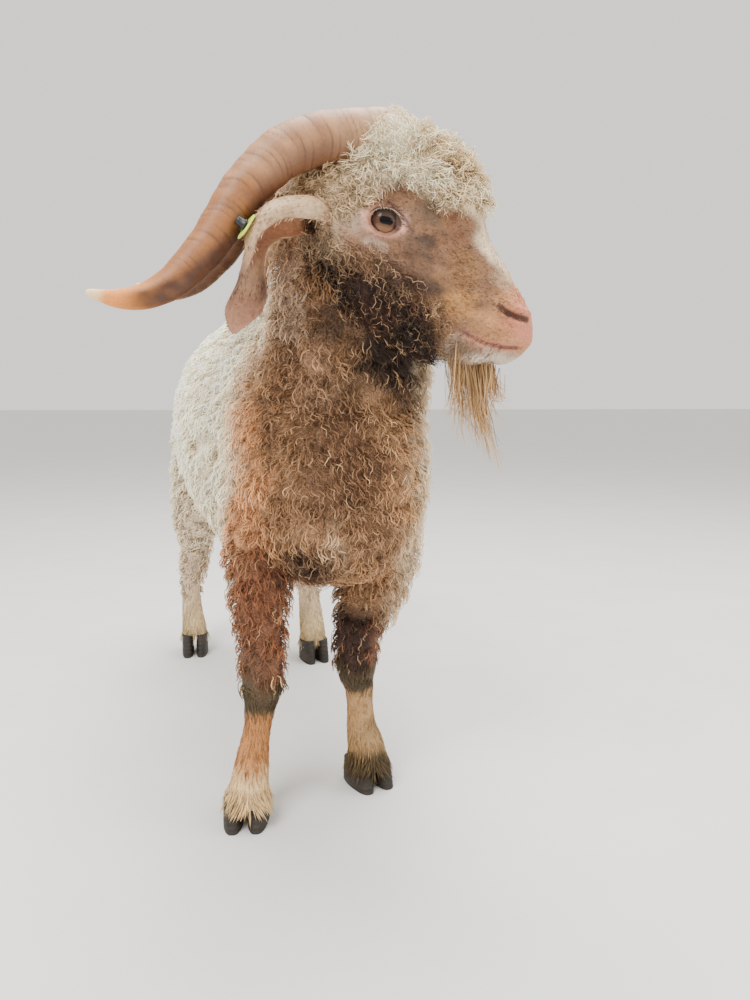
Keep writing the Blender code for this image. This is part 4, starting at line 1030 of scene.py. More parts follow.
def curled(spine, outs, look, random):
    """Curled strands round each lock's spine. Gives their points, ways out, half widths and locks."""
    lock = np.repeat(np.arange(len(spine)), look["per"])
    count = len(lock)

    def value(key):
        return np.broadcast_to(look[key], len(spine))[lock]

    def turned(shape):
        return random.uniform(0, math.tau, shape)

    share = np.linspace(0, 1, look["steps"])[None]
    shares = share * random.uniform(0.72, 1.0, (count, 1))
    along = unit(np.gradient(spine, axis=1))
    side = unit(np.cross(along, outs))
    up = np.cross(side, along)
    along, side, up = (along_spine(v[lock], shares) for v in (along, side, up))
    place = along_spine(spine[lock], shares)
    angle = turned(count)
    far = np.sqrt(random.uniform(0.02, 1, count)) * value("spread")
    close = (1 - look["gather"] * share)[..., None]
    beside = (np.cos(angle) * far)[:, None, None]
    over = (np.sin(angle) * far * look["thick"])[:, None, None]
    place += (side * beside + up * over) * close
    reach = (value("length")[:, None] * shares)[..., None]
    place += side * reach * random.normal(0, look["stray"], (count, 1, 1))
    phase = turned(len(spine))[lock] + random.normal(0, look["loose"], count)
    hand = np.where(random.uniform(0, 1, len(spine)) < 0.5, -1.0, 1.0)[lock][:, None, None]
    period = (value("period") * random.uniform(0.82, 1.2, count))[:, None, None]
    turn = math.tau * reach / period + phase[:, None, None]
    size = (value("curl") * random.uniform(0.7, 1.2, count))[:, None, None]
    size = size * np.minimum(1.0, share * 2.6)[..., None]
    loop = look["loop"] * random.uniform(0.6, 1.1, (count, 1, 1))
    lean = turned((count, 1, 1))
    place += side * np.cos(turn) * size * hand + along * np.sin(turn) * size * loop
    place += up * np.sin(turn + lean) * size * look["lift"]
    return place, up, value("width") * random.uniform(0.75, 1.25, count), lock


def strand_mesh(place, up, thin, profile, flatness=0.8):
    """Closed strands with a point at the tip. Gives points, faces, shares along and one strand's points."""
    count, steps = place.shape[:2]
    along = unit(np.gradient(place, axis=1))
    side = unit(np.cross(along, up))
    lift = np.cross(side, along)
    sides = STRAND_SIDES
    turns = around(sides) + math.pi / 2
    size = (thin[:, None] * profile[None, :])[:, :-1, None, None]
    ring = side[:, :-1, None] * np.cos(turns)[:, None]
    ring = ring + lift[:, :-1, None] * (np.sin(turns) * flatness)[:, None]
    rings = (place[:, :-1, None] + size * ring).reshape(count, -1, 3)
    local = []
    for start in range(0, (steps - 2) * sides, sides):
        for j in range(sides):
            a, b = start + j, start + (j + 1) % sides
            local += [(a, b, b + sides), (a, b + sides, a + sides)]
    tip = (steps - 1) * sides
    last = tip - sides
    local += [(last + j, last + (j + 1) % sides, tip) for j in range(sides)]
    local = np.array([*local, (2, 1, 0)])
    faces = (local[None] + (np.arange(count) * (tip + 1))[:, None, None]).reshape(-1, 3)
    share = np.append(np.repeat(np.linspace(0, 1, steps)[:-1], sides), 1.0)
    return np.concatenate([rings, place[:, -1:]], axis=1).reshape(-1, 3), faces, share, tip + 1


def finished(mesh, base, tone, painted_shading, spots):
    """A batch of strands with its colours and its patches on the atlas."""
    points, faces, share, per = mesh
    # Painted shade and light along each strand: its colour is scaled from the root's share to the tip's
    light = np.interp(share, np.linspace(0, 1, len(painted_shading)), painted_shading)
    colours = np.clip(base[:, None] * tone[:, None, None] * light[None, :, None], 0.003, 0.95)
    patch = np.stack([np.arange(per) % STRAND_SIDES / STRAND_SIDES, share], 1) * PATCH
    uv = (spots[:, None] + patch[None]).reshape(-1, 2)
    return {"points": points, "faces": faces, "colours": colours.reshape(-1, 3), "uv": uv}


def woolly(ground, roots, ways, parts, lie, look, colour_at, random):
    """Locks of curled strands of one look."""
    count = len(roots)
    look = dict(look, length=look["length"] * random.uniform(0.82, 1.18, count))
    depth = look["depth"] * random.uniform(0.72, 1.08, count)
    spine, outs = march(ground, roots, ways, lie, look["length"], depth)
    place, up, thin, lock = curled(spine, outs, look, random)
    strands = len(lock)
    mesh = strand_mesh(place, up, thin, np.interp(np.linspace(0, 1, look["steps"]), *CURL_PROFILE))
    lift = np.sum((place.mean(axis=1) - spine[lock].mean(axis=1)) * outs[lock].mean(axis=1), axis=1)
    tone = (1 + look["vary"] * random.normal(0, 1, count))[lock]
    tone *= 1 + look["fleck"] * random.normal(0, 1, strands)
    # Painted light and shade by height: strands standing out of the lock are lighter, those sunk into it darker
    tone *= 1 + np.clip(lift / 0.006, -0.35, 0.20)
    base = colour_at(roots + random.normal(0, look["mix"], (count, 3)))[lock]
    # Painted highlights: a share of the strands on dark wool is painted pale tan as if catching the light
    painted_glint = (random.uniform(0, 1, strands) < look["glint"]) * random.uniform(0.2, 0.7, strands)
    base = blend(base, vivid(srgb(214, 178, 138)[None])[0], painted_glint * (base.mean(axis=1) < 0.35))
    return finished(mesh, base, np.clip(tone, 0.35, 1.7), CURL_PAINTED_SHADING, atlas(roots, ways, parts)[lock])


def fall(points, random, sway):
    """The lie of the body's wool: down and a little back, with a soft parting along the back."""
    lie = np.tile(np.array([0.0, 0.32, -0.9]), (len(points), 1))
    lie[:, 0] += np.clip(points[:, 0] / 0.05, -1, 1) * 0.40
    front = ease(0.10, 0.0, points[:, 1])[:, None]
    lie = lie * (1 - front) + np.array([0.0, -0.10, -1.0]) * front
    return unit(lie + random.normal(0, 1, (len(points), 3)) * np.array([1.0, 1.0, 0.6]) * sway)


def off_head(points):
    """Nought where a place on the neck is inside the head."""
    f, u, r = to_head(points).T
    inside = (f / 0.075) ** 2 + ((u - 0.005) / 0.062) ** 2 + (r / 0.045) ** 2
    return (inside > 1).astype(float)


# Each look: steps and strands a lock, how strands gather, stray and curl, sizes in metres, and how their
# lightness and colour vary; glint is the share of strands on dark wool painted pale as highlights
REAR_LOOK = {
    "steps": 7, "per": 5, "gather": 0.20, "thick": 0.45, "stray": 0.30, "loose": 1.1, "loop": 0.80,
    "lift": 0.50, "length": 0.024, "depth": 0.0135, "spread": 0.0105, "curl": 0.0022, "period": 0.0130,
    "width": 0.00100, "vary": 0.05, "fleck": 0.05, "mix": 0.006, "glint": 0.0,
}
FRONT_LOOK = {
    "steps": 7, "per": 6, "gather": 0.05, "thick": 0.50, "stray": 0.38, "loose": 1.4, "loop": 0.90,
    "lift": 0.60, "length": 0.0175, "depth": 0.0130, "spread": 0.0088, "curl": 0.0019, "period": 0.0098,
    "width": 0.00058, "vary": 0.10, "fleck": 0.12, "mix": 0.006, "glint": 0.10,
}
CROWN_LOOK = {
    "steps": 6, "per": 6, "gather": 0.0, "thick": 0.60, "stray": 0.45, "loose": 2.0, "loop": 0.60,
    "lift": 0.60, "spread": 0.0058, "curl": 0.0013, "period": 0.0085, "width": 0.00040, "vary": 0.03,
    "fleck": 0.05, "mix": 0.003, "glint": 0.0,
}
CHEEK_LOOK = {
    "steps": 10, "per": 4, "gather": 0.20, "thick": 0.45, "stray": 0.30, "loose": 0.8, "loop": 0.95,
    "lift": 0.45, "spread": 0.0054, "period": 0.0088, "width": 0.00042, "vary": 0.20, "fleck": 0.25,
    "mix": 0.002, "glint": 0.20,
}
LEG_LOOK = dict(FRONT_LOOK, per=5, length=0.018, spread=0.0085, curl=0.0020, period=0.0110, width=0.00080)
TAIL_LOOK = dict(REAR_LOOK, depth=0.007, spread=0.0060, curl=0.0020, period=0.0140, width=0.00085)


def body_coat(ground, random):
    """Locks of the trunk, neck, tail and upper legs, a list of batches for each."""
    centre = ground.centre
    part = part_of(centre)
    _, y, z = centre.T
    leg, tail = part >= FIRST_LEG, part == TAIL_PART
    knee = np.where(part <= LAST_FORELEG, 0.175, 0.125)
    wool = np.where(leg, ease(knee - 0.02, knee + 0.02, z), 1.0) * off_head(centre)
    under = 1 - 0.45 * ease(0.33, 0.28, z) * (y > 0.12)
    front = ease(0.16, 0.06, y)
    batches = {"fleece_rear": [], "fleece_front": []}
    for key, look, weight, count, splits in (
        ("fleece_rear", REAR_LOOK, (1 - front) * ~leg * ~tail * under, REAR_LOCKS, 2),
        ("fleece_front", FRONT_LOOK, front * ~leg * ~tail, FRONT_LOCKS, 3),
        ("fleece_front", LEG_LOOK, leg * np.where(y > 0.3, 0.70, 1.0), LEG_LOCKS, 2),
        ("fleece_rear", TAIL_LOOK, 1.0 * tail, TAIL_LOCKS, 1),
    ):
        roots, ways = ground.roots(weight * wool, count, random)
        parts = part_of(roots)
        lie = fall(roots, random, 0.30)
        if look is TAIL_LOOK:
            lie = unit(lie + np.array([0.0, 0.8, -0.2]))
        if look is LEG_LOOK:
            rise = ease(0.19, 0.30, roots[:, 2])
            width = np.where(roots[:, 1] > 0.3, 0.00110, 0.00076)
            look = dict(look, depth=0.0055 + 0.0060 * rise, width=width)
        for some in np.array_split(random.permutation(count), splits):
            own = {k: v[some] if isinstance(v, np.ndarray) else v for k, v in look.items()}
            place = roots[some], ways[some], parts[some], lie[some]
            batches[key].append(woolly(ground, *place, own, body_colour, random))
    return batches


def horn_gap(q):
    """How far places of the head are from the sides of the nearer horn's root."""
    path = smooth(HORN_ROWS, SPINE_STEPS)[:14]
    spot = np.column_stack([q[:, :2], np.abs(q[:, 2])])
    return (np.linalg.norm(spot[:, None] - path[None, :, :3], axis=2) - path[None, :, 3]).min(axis=1)


def crown_look(q):
    """The look, lie and sway of the crown's locks at places of the head: low by the horns, longest on top."""
    f, u, r = q.T
    gap = horn_gap(q)
    top = ease(0.0, 0.045, u) * ease(0.080, 0.050, f)
    edge = np.clip(crown_share(q), 0.2, 1.0)
    low = np.maximum(ease(0.002, 0.010, gap), 0.45 * ease(0.066, 0.050, u))
    depth = (0.0070 + 0.0085 * top) * edge * low + 0.0015
    near = ease(0.008, 0.002, gap)[:, None]
    aside = np.sign(r)[:, None]
    ahead, up, right = HEAD_AXES
    lie = ahead * 0.35 + right * (aside * 0.35) + np.array([0.0, 0.0, -0.45])
    over = ahead * -0.55 + right * (aside * 0.25) + up * -0.15
    look = dict(CROWN_LOOK, depth=depth, length=0.010 + 0.005 * edge * low)
    return look, lie * (1 - near) + over * near, 0.75


def cheek_look(q):
    """The look, lie and sway of the cheeks' locks at places of the head."""
    edge = np.clip(cheek_share(q), 0.25, 1.0)
    look = dict(CHEEK_LOOK, depth=0.0105 * edge, length=0.012 + 0.012 * edge, curl=0.0018 + 0.0012 * edge)
    aside = np.sign(q[:, 2:]) * 0.05
    return look, HEAD_AXES[0] * 0.30 + HEAD_AXES[2] * aside + np.array([0.0, 0.0, -0.95]), 0.40


def head_coat(ground, random):
    """Locks of the crown, the back of the head, the cheeks and the jaw."""
    centre = to_head(ground.centre)
    cheek = cheek_share(centre)
    crown = crown_share(centre) * (cheek < 0.5) * (horn_gap(centre) > 0.0009)
    made = []
    for look_at, weight, count in ((crown_look, crown, CROWN_LOCKS), (cheek_look, cheek, CHEEK_LOCKS)):
        roots, ways = ground.roots(weight, count, random)
        look, lie, sway = look_at(to_head(roots))
        lie = unit(lie + random.normal(0, sway, (count, 3)))
        place = roots, ways, np.full(count, HEAD_PART), lie
        made.append(woolly(ground, *place, look, lambda p: head_colour(to_head(p)), random))
    return made


def short_tufts(roots, ways, lie, size, width, base, spots, random, bow=0.30, vary=0.12):
    """Short closed tufts that rise a little and lie along the coat."""
    share = np.linspace(0, 1, 3)[None, :, None]
    lift = bow * (share - 0.62 * share**2)
    ways = ways[:, None]
    place = roots[:, None] - ways * 0.0006 + (lie[:, None] * share + ways * lift) * size[:, None, None]
    thin = width * random.uniform(0.8, 1.2, len(roots))
    mesh = strand_mesh(place, np.repeat(ways, 3, axis=1), thin, np.array([0.9, 1.0, 0.3]), 0.5)
    tone = np.clip(1 + vary * random.normal(0, 1, len(roots)), 0.4, 1.6)
    # Painted shade at the tufts' roots and painted light at their tips
    return finished(mesh, base, tone, (0.80, 1.0, 1.12), spots)


def lying(lie, ways, random, sway):
    """Directions turned into the skin's own plane, with some sway."""
    return unit(lie - ways * np.sum(lie * ways, axis=1, keepdims=True) + random.normal(0, sway, lie.shape))


def face_hair(ground, random):
    """Short hair of the face, lying back from the nose."""
    q = to_head(ground.centre)
    f, u, _ = q.T
    bare = ease(0.0150, 0.0185, eye_distance(q)) * ease(0.166, 0.154, f + 0.30 * np.maximum(u - 0.012, 0))
    weight = bare * (1 - 0.8 * held(crown_share(q) + cheek_share(q))) * ease(-0.045, -0.02, f)
    roots, ways = ground.roots(weight, FACE_TUFTS, random)
    q = to_head(roots)
    ahead, up, _ = HEAD_AXES
    chin = ease(0.004, -0.010, q[:, 1] - 0.35 * (q[:, 0] - 0.15)) * ease(0.11, 0.13, q[:, 0])
    lie = blend(-ahead * 0.8 - up * 0.40, ahead * 0.1 - up * 0.9, chin)
    size = (0.0052 + 0.0030 * chin) * random.uniform(0.7, 1.3, len(roots))
    base = head_colour(q + random.normal(0, 0.0026, q.shape))
    lie = lying(lie, ways, random, 0.20)
    return short_tufts(roots, ways, lie, size, 0.00032, base, head_atlas(roots, ways), random, 0.36, 0.24)


def leg_hair(ground, random):
    """Short hair of the lower legs, with a fringe over the tops of the hooves."""
    centre = ground.centre
    part = part_of(centre)
    z = centre[:, 2]
    fore = part <= LAST_FORELEG
    top, coronet = np.where(fore, 0.195, 0.150), np.where(fore, 0.030, 0.040)
    weight = (part >= FIRST_LEG) * ease(top, top - 0.03, z) * ease(coronet - 0.002, coronet, z)
    weight = weight * (1 + 2.2 * ease(coronet + 0.022, coronet + 0.008, z))
    roots, ways = ground.roots(weight, LEG_TUFTS, random)
    parts = part_of(roots)
    low = ease(0.060, 0.040, roots[:, 2])
    lie = np.array([0.0, 0.0, -1.0]) + ways * (0.30 * low)[:, None]
    legs = [parts == part for part in range(FIRST_LEG, HEAD_PART)]
    aside = np.select(legs, [roots[:, 0] - hoof[0] for hoof in HOOVES.values()])
    far = np.abs(aside)
    lie[:, 0] += np.sign(aside) * ease(0.0, 0.005, far) * ease(0.022, 0.010, far) * low * 0.5
    lie += random.normal(0, 0.10, (len(roots), 3))
    size = (0.0125 + 0.0060 * low) * random.uniform(0.7, 1.25, len(roots))
    size = np.minimum(size, (roots[:, 2] - 0.004) * 0.92)
    base = body_colour(roots + random.normal(0, 0.003, roots.shape))
    flat = unit(lie - ways * (np.sum(lie * ways, axis=1) * (1 - low))[:, None])
    return short_tufts(roots, ways, flat, size, 0.00085, base, atlas(roots, ways, parts), random, 0.30, 0.16)


# Finishes


def with_inputs(node, **values):
    """A shader node with its inputs set, by their names with _ for a space."""
    for key, value in values.items():
        node.inputs[key.replace("_", " ")].default_value = value
    return node


def added(tree, kind, **values):
    """A new node of a material."""
    return with_inputs(tree.nodes.new("ShaderNode" + kind), **values)


def principled(name, roughness, **values):
    """A new material and its shader node."""
    made = bpy.data.materials.new(name)
    made.use_nodes = True
    return made, with_inputs(made.node_tree.nodes["Principled BSDF"], Roughness=roughness, **values)


def noise_over(tree, grain, detail):
    """The piece's own places in a material and a noise over them."""
    place = added(tree, "TexCoord").outputs["Object"]
    noise = added(tree, "TexNoise", Scale=grain, Detail=detail)
    tree.links.new(place, noise.inputs["Vector"])
    return place, noise.outputs["Fac"]


def bumped(tree, shader, height, strength, distance):
    """Raises a material's surface by a pattern."""
    bump = added(tree, "Bump", Strength=strength, Distance=distance)
    tree.links.new(height, bump.inputs["Height"])
    tree.links.new(bump.outputs["Normal"], shader.inputs["Normal"])


def tinted(name, roughness, grain, strength, contrast=0.25, distance=0.0006, curly=False, **values):
    """A finish whose colour comes from the tint at each point, with fine streaks of light and a bump.

    Where it is curly, the streaks are the fine curls of wool as far as the wool share at each point tells.
    """
    made, shader = principled(name, roughness, **values)
    tree = made.node_tree
    tint = added(tree, "Attribute")
    tint.attribute_name = "tint"
    place, streaks = noise_over(tree, grain, 3.0)
    if curly:
        wave = added(tree, "TexWave", Scale=CURL_SCALE, Distortion=16.0, Detail=2.0, Detail_Scale=1.1)
        wave.bands_direction = "DIAGONAL"
        tree.links.new(place, wave.inputs["Vector"])
        mix = added(tree, "Mix")
        for source, key in ((tint.outputs["Alpha"], "Factor"), (streaks, "A"), (wave.outputs["Fac"], "B")):
            tree.links.new(source, mix.inputs[key])
        streaks = mix.outputs["Result"]
    tone = added(tree, "MapRange", From_Min=0.25, From_Max=0.75, To_Min=1.0 - contrast, To_Max=1.0 + contrast)
    tree.links.new(streaks, tone.inputs["Value"])
    scale = added(tree, "VectorMath")
    scale.operation = "SCALE"
    tree.links.new(tint.outputs["Color"], scale.inputs[0])
    tree.links.new(tone.outputs["Result"], scale.inputs["Scale"])
    tree.links.new(scale.outputs["Vector"], shader.inputs["Base Color"])
    bumped(tree, shader, streaks, strength, distance)
    return made


def plain(name, colour, roughness, grain, strength, spread):
    """A moulded finish in one colour, varied by noise."""
    made, shader = principled(name, roughness)
    tree = made.node_tree
    _, noise = noise_over(tree, grain, 4.0)
    ramp = added(tree, "ValToRGB")
    stops = ramp.color_ramp.elements
    for stop, position, factor in zip(stops, (0.3, 0.7), (1 - spread, 1 + spread)):
        stop.color = (*held(np.array(colour) * factor), 1.0)
        stop.position = position
    tree.links.new(noise, ramp.inputs["Fac"])
    tree.links.new(ramp.outputs["Color"], shader.inputs["Base Color"])
    bumped(tree, shader, noise, strength, 0.0005)
    return made


def dress(made, finish, slot, *nodes):
    """Gives a piece its finish and body, and hides the nodes it stands for. The slot is not used."""
    made.data.materials.clear()
    made.data.materials.append(finish)
    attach(made, BODY)
    if nodes:
        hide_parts(*nodes)
    return made


def own_piece(node, shape, colour, slot, *finish, **values):
    """The piece that stands for one node, with a tinted finish of its own."""
    made = mesh_of(node + "_fine", shape, colour)
    return dress(made, tinted(node + "_fine", *finish, **values), slot, node)


# The separate pieces


def build_skin():
    """The whole skin in one piece, with the body's and the head's surfaces for rooting."""
    body, head = body_skin(), head_skin()
    grounds = Ground(body), Ground(head)
    for old in (body, head):
        bpy.data.objects.remove(old)
    points, faces = joined([(g.points, g.faces) for g in grounds])
    normals = np.vstack([g.normals for g in grounds])
    is_head = np.arange(len(points)) >= len(grounds[0].points)
    q = to_head(points)
    head_wool = held(crown_share(q) + cheek_share(q))
    wool = np.where(is_head, head_wool, 0.2 + 0.8 * ease(0.13, 0.17, points[:, 2]))
    lumps = ripple(points, 0.022, 7) * 0.0016 + ripple(points, 0.009, 8) * 0.0010
    wrinkle = (ripple(q, 0.0035, 9) * 0.00022 + ripple(q, 0.012, 10) * 0.0004) * is_head
    points = points + normals * (lumps * wool + wrinkle * (1 - wool))[:, None]
    colours = body_colour(points)
    colours[is_head] = head_colour(to_head(points[is_head]))
    # Painted shade: the skin is made darker where wool covers it, as the gaps between the strands lie in shade
    return mesh_of("skin", (points, faces), colours * (1 - 0.15 * wool)[:, None], None, wool), *grounds


def horn_relief(length, share, turns):
    """How deep a horn is carved at each place, and how far that place is in a groove and on a ring."""
    place = length + 0.0018 * np.sin(turns * 2 + 0.6)[None] + 0.0010 * np.sin(turns * 3 + 4 * share)
    ring, groove, line = (
        np.sin(place * math.tau / size + bend * np.sin(place * often)) * 0.5 + 0.5
        for size, bend, often in ((HORN_RING, 2.2, 41), (HORN_GROOVE, 3.0, 96), (HORN_LINE, 2.0, 210))
    )
    groove = groove ** 10 * (0.5 + 0.5 * np.sin(place * 230 + turns[None] * 2))
    flute = np.sin(turns * 7 + share * 2.5) * 0.5 + 0.5
    fade = ease(0.96, 0.50, share)
    carve = -0.00055 * (1 - ring) * fade - 0.00055 * groove * fade
    return carve - 0.00010 * line * fade - 0.00022 * flute * fade, groove, ring


def build_horn(side):
    """One horn with faint growth rings, fine cross grooves and dark stains towards its end."""
    path = relaxed(smooth(HORN_ROWS, HORN_STEPS), 10)
    length = np.concatenate([[0.0], np.cumsum(np.linalg.norm(np.diff(path[:, :3], axis=0), axis=1))])
    share = (length / length[-1])[:, None]
    turns = around(HORN_SIDES)
    carve, groove, ring = horn_relief(length[:, None], share, turns)
    _, across, up = frames(path[:, :3], np.array([0.0, 0.0, 1.0]))
    wide = (path[:, 3:4] + carve) * np.cos(turns)
    tall = (path[:, 4:5] + carve) * np.sin(turns)
    rings = path[:, None, :3] + across[:, None] * wide[..., None] + up[:, None] * tall[..., None]
    tip = path[-1, :3]
    along = unit(tip - path[-2, :3])
    dome = [
        tip + along * 0.0036 * math.sin(turn) + (rings[-1] - tip) * math.cos(turn)
        for turn in np.radians([30, 60, 80])
    ]
    rings = np.concatenate([rings, dome])
    shape = skinned(rings, path[0, :3], tip + along * 0.0037)
    down = ((rings - rings.mean(axis=1, keepdims=True)) @ HEAD_AXES[:, 2]) / -0.018
    at = np.append(np.repeat([*share[:, 0], *[1.0] * len(dome)], HORN_SIDES), [0.0, 1.0])
    rest = len(dome) * HORN_SIDES + 2
    groove, ring = np.append(groove, np.zeros(rest)), np.append(ring, np.ones(rest))
    colour = horn_colour(shape[0], at, np.append(down, [0.0, 0.0]), groove, ring)
    if side < 0:
        points, faces = mirrored(shape)
        shape = spun(points, np.array([*HORN_ROWS[0][:2], 0.0]), HORN_LEFT_TURN), faces
    node = "horn_right" if side > 0 else "horn_left"
    finish = (0.50, 420.0, 0.22, 0.12, 0.0003)
    return own_piece(node, headed(shape), colour, "horn", *finish, Specular_IOR_Level=0.35)


def horn_colour(points, at, down, groove, band):
    """Colours of a horn by how far along a place is, how far it faces down, and its groove and ring."""
    stain = ripple(points * np.array([1.0, 1.0, 1.6]), 0.016, 12)
    fine = ripple(points, 0.005, 13)
    streak = 0.5 + 0.5 * ripple(points * np.array([1.0, 1.0, 0.25]), 0.006, 18)
    middle = np.interp(at, (0.45, 0.60, 0.75, 0.90), (0.85, 0.70, 0.45, 0.10))
    smear = ease(0.40, 0.54, at) * ease(0.95, 0.87, at) * ease(0.62, 0.22, np.abs(down - middle))
    return vivid(layered(
        srgb(222, 190, 156),
        (srgb(168, 122, 88), ease(0.05, 0.26, at + 0.03 * stain) * 0.9),
        (srgb(152, 100, 62), ease(0.36, 0.60, at + 0.05 * stain)),
        # Painted shade: darker on the side of the horn that faces down, along its middle
        (srgb(84, 54, 40), ease(-0.1, 0.8, down) * ease(0.05, 0.30, at) * ease(0.85, 0.6, at) * 0.75),
        (srgb(216, 140, 76), ease(0.80, 0.95, at + 0.03 * stain - 0.04 * held(down))),
        (srgb(238, 208, 160), ease(0.960, 0.995, at)),
        (srgb(46, 27, 22), held(smear * (0.92 + 0.1 * fine)) * 0.88),
        (srgb(60, 40, 32), groove * ease(0.02, 0.08, at) * ease(0.85, 0.7, at) * 0.7),
        (srgb(104, 74, 56), held(streak) * 0.30 * ease(0.95, 0.6, at)),
        (srgb(104, 72, 54), (1 - band) * 0.30 * ease(0.95, 0.6, at)),
    ))


def ear_sheet(steps):
    """The ear's spine, then its outer and inner faces as grids of points in the head's frame.

    Gives the spine's rows, its directions along and to the roll's opening, the ways out of the sheet, both
    faces and the shares along.
    """
    path = relaxed(smooth(EAR_ROWS, steps), 3)
    along = unit(np.gradient(path[:, :3], axis=0))
    opens = path[:, 5:]
    opens = unit(opens - np.sum(along * opens, axis=1, keepdims=True) * along)
    side = np.cross(opens, along)
    share = np.linspace(0, 1, steps)
    across = np.linspace(-1, 1, EAR_ARCS)
    arc = np.radians(path[:, 4:5]) * across[None]
    arc = arc * np.sqrt(1 - np.clip((share - 0.80) / 0.20, 0, 0.998) ** 2)[:, None]
    ways = side[:, None] * np.sin(arc)[..., None] - opens[:, None] * np.cos(arc)[..., None]
    thick = EAR_THICK * (1 - 0.35 * share)[:, None] * (1 - 0.75 * np.abs(across) ** 3)[None]
    outer = path[:, None, :3] + ways * path[:, 3:4, None]
    inner = path[:, None, :3] + ways * (path[:, 3:4] - thick)[..., None]
    return path, along, opens, ways, outer, inner, share


def ear_colour(points, at, cross, inside):
    """Colours of an ear by how far along it and how far across it a place is, and whether it is inside."""
    fine = ripple(points, 0.010, 15)
    base = np.exp(-((at - 0.20) ** 2 / 0.006 + (cross - 0.2) ** 2 / 0.2))
    patch = np.exp(-((at - 0.74) ** 2 / 0.010 + (np.abs(cross) - 0.85) ** 2 / 0.14)) * (0.8 + 0.4 * fine)
    pink = blend(srgb(156, 112, 90), srgb(188, 156, 126), held(0.5 + 0.5 * fine))
    return vivid(layered(
        srgb(152, 120, 94),
        (srgb(206, 180, 146), held(0.40 + 0.5 * fine) * ease(0.75, 0.2, at)),
        (srgb(214, 146, 104), base * 0.8),
        (srgb(160, 116, 94), ease(0.66, 0.84, at) * 0.8),
        (pink, inside * ease(0.85, 0.6, at)),
        (srgb(178, 130, 100), inside * ease(0.50, 0.34, at) * 0.8),
        (srgb(72, 46, 36), held(patch) * 0.9),
        # Painted shade deep inside the ear's roll near its root
        (srgb(70, 46, 38), ease(0.18, 0.08, at) * inside * 0.85),
    ))


def turned_back(points):
    """The right ear's places turned round its root, to where the left ear's lie once mirrored."""
    return spun(points, np.array(EAR_ROWS[0][:3]), LEFT_EAR_TURN)


def build_ear(side, random):
    """One ear: a rolled sheet with pink skin inside and short hair outside. Gives its hair."""
    *_, outer, inner, share = ear_sheet(EAR_STEPS)
    rings = np.concatenate([outer, inner[:, ::-1]], axis=1)
    points, faces = skinned(rings, outer[0].mean(axis=0), outer[-1].mean(axis=0))
    across = np.linspace(-1, 1, EAR_ARCS)
    at = np.append(np.repeat(share, 2 * EAR_ARCS), [0.0, 1.0])
    cross = np.append(np.tile([*across, *across[::-1]], EAR_STEPS), [0.0, 0.0])
    inside = np.append(np.tile(np.arange(2 * EAR_ARCS) >= EAR_ARCS, EAR_STEPS), [0.0, 0.0])
    points = points + (ripple(points, 0.006, 14) * 0.0003)[:, None] * np.array([0.0, 0.0, 1.0])
    colour = ear_colour(points, at, cross, inside)
    shape = (points, faces) if side > 0 else mirrored((turned_back(points), faces))
    node = "ear_right" if side > 0 else "ear_left"
    own_piece(node, headed(shape), colour, "short_hair", 0.75, 320.0, 0.6, 0.26)
    return ear_hair(side, random)


def ear_hair(side, random):
    """Short hair on the outside of an ear and a fringe along its edges."""
    _, along, _, ways, outer, inner, share = ear_sheet(EAR_STEPS)
    i, j = random.integers(2, EAR_STEPS - 2, EAR_TUFTS), random.integers(0, EAR_ARCS, EAR_TUFTS)
    inside = ((random.uniform(0, 1, EAR_TUFTS) < 0.35) & (share[i] > 0.5))[:, None]
    fade = random.uniform(0, 1, (EAR_TUFTS, 1))
    here = np.where(inside, *(face[i, j] * (1 - fade) + face[i + 1, j] * fade for face in (inner, outer)))
    out = unit(np.where(inside, -1.0, 1.0) * ways[i, j])
    middle = EAR_ARCS // 2
    edge = (np.abs(j - middle) / middle) ** 6 * ~inside[:, 0]
    fringe = -np.sign(j - middle)[:, None] * np.cross(ways[i, j], along[i])
    lie = unit(along[i] + fringe * edge[:, None] * 0.3 + random.normal(0, 0.16, (EAR_TUFTS, 3)))
    size = 0.0050 + 0.0014 * edge + 0.007 * ease(0.22, 0.05, share[i])
    size = size * random.uniform(0.7, 1.3, EAR_TUFTS) * (1 - 0.65 * ease(0.78, 0.94, share[i]))
    if side < 0:
        here, out, lie = (v * MIRROR for v in (turned_back(here), out, lie))
    here = from_head(here)
    row = (len(PARTS) + 0.04 + 0.9 * j / EAR_ARCS) / ATLAS_ROWS
    spots = np.stack([0.02 + 0.5 * (side > 0) + 0.44 * share[i], row], 1)
    base = ear_colour(here, share[i], j / (EAR_ARCS - 1) * 2 - 1, inside[:, 0] * 1.0) * 1.15
    out, lie = out @ HEAD_AXES, lie @ HEAD_AXES
    return short_tufts(here, out, lie, size, 0.00042, base, spots, random, 0.26, 0.20)


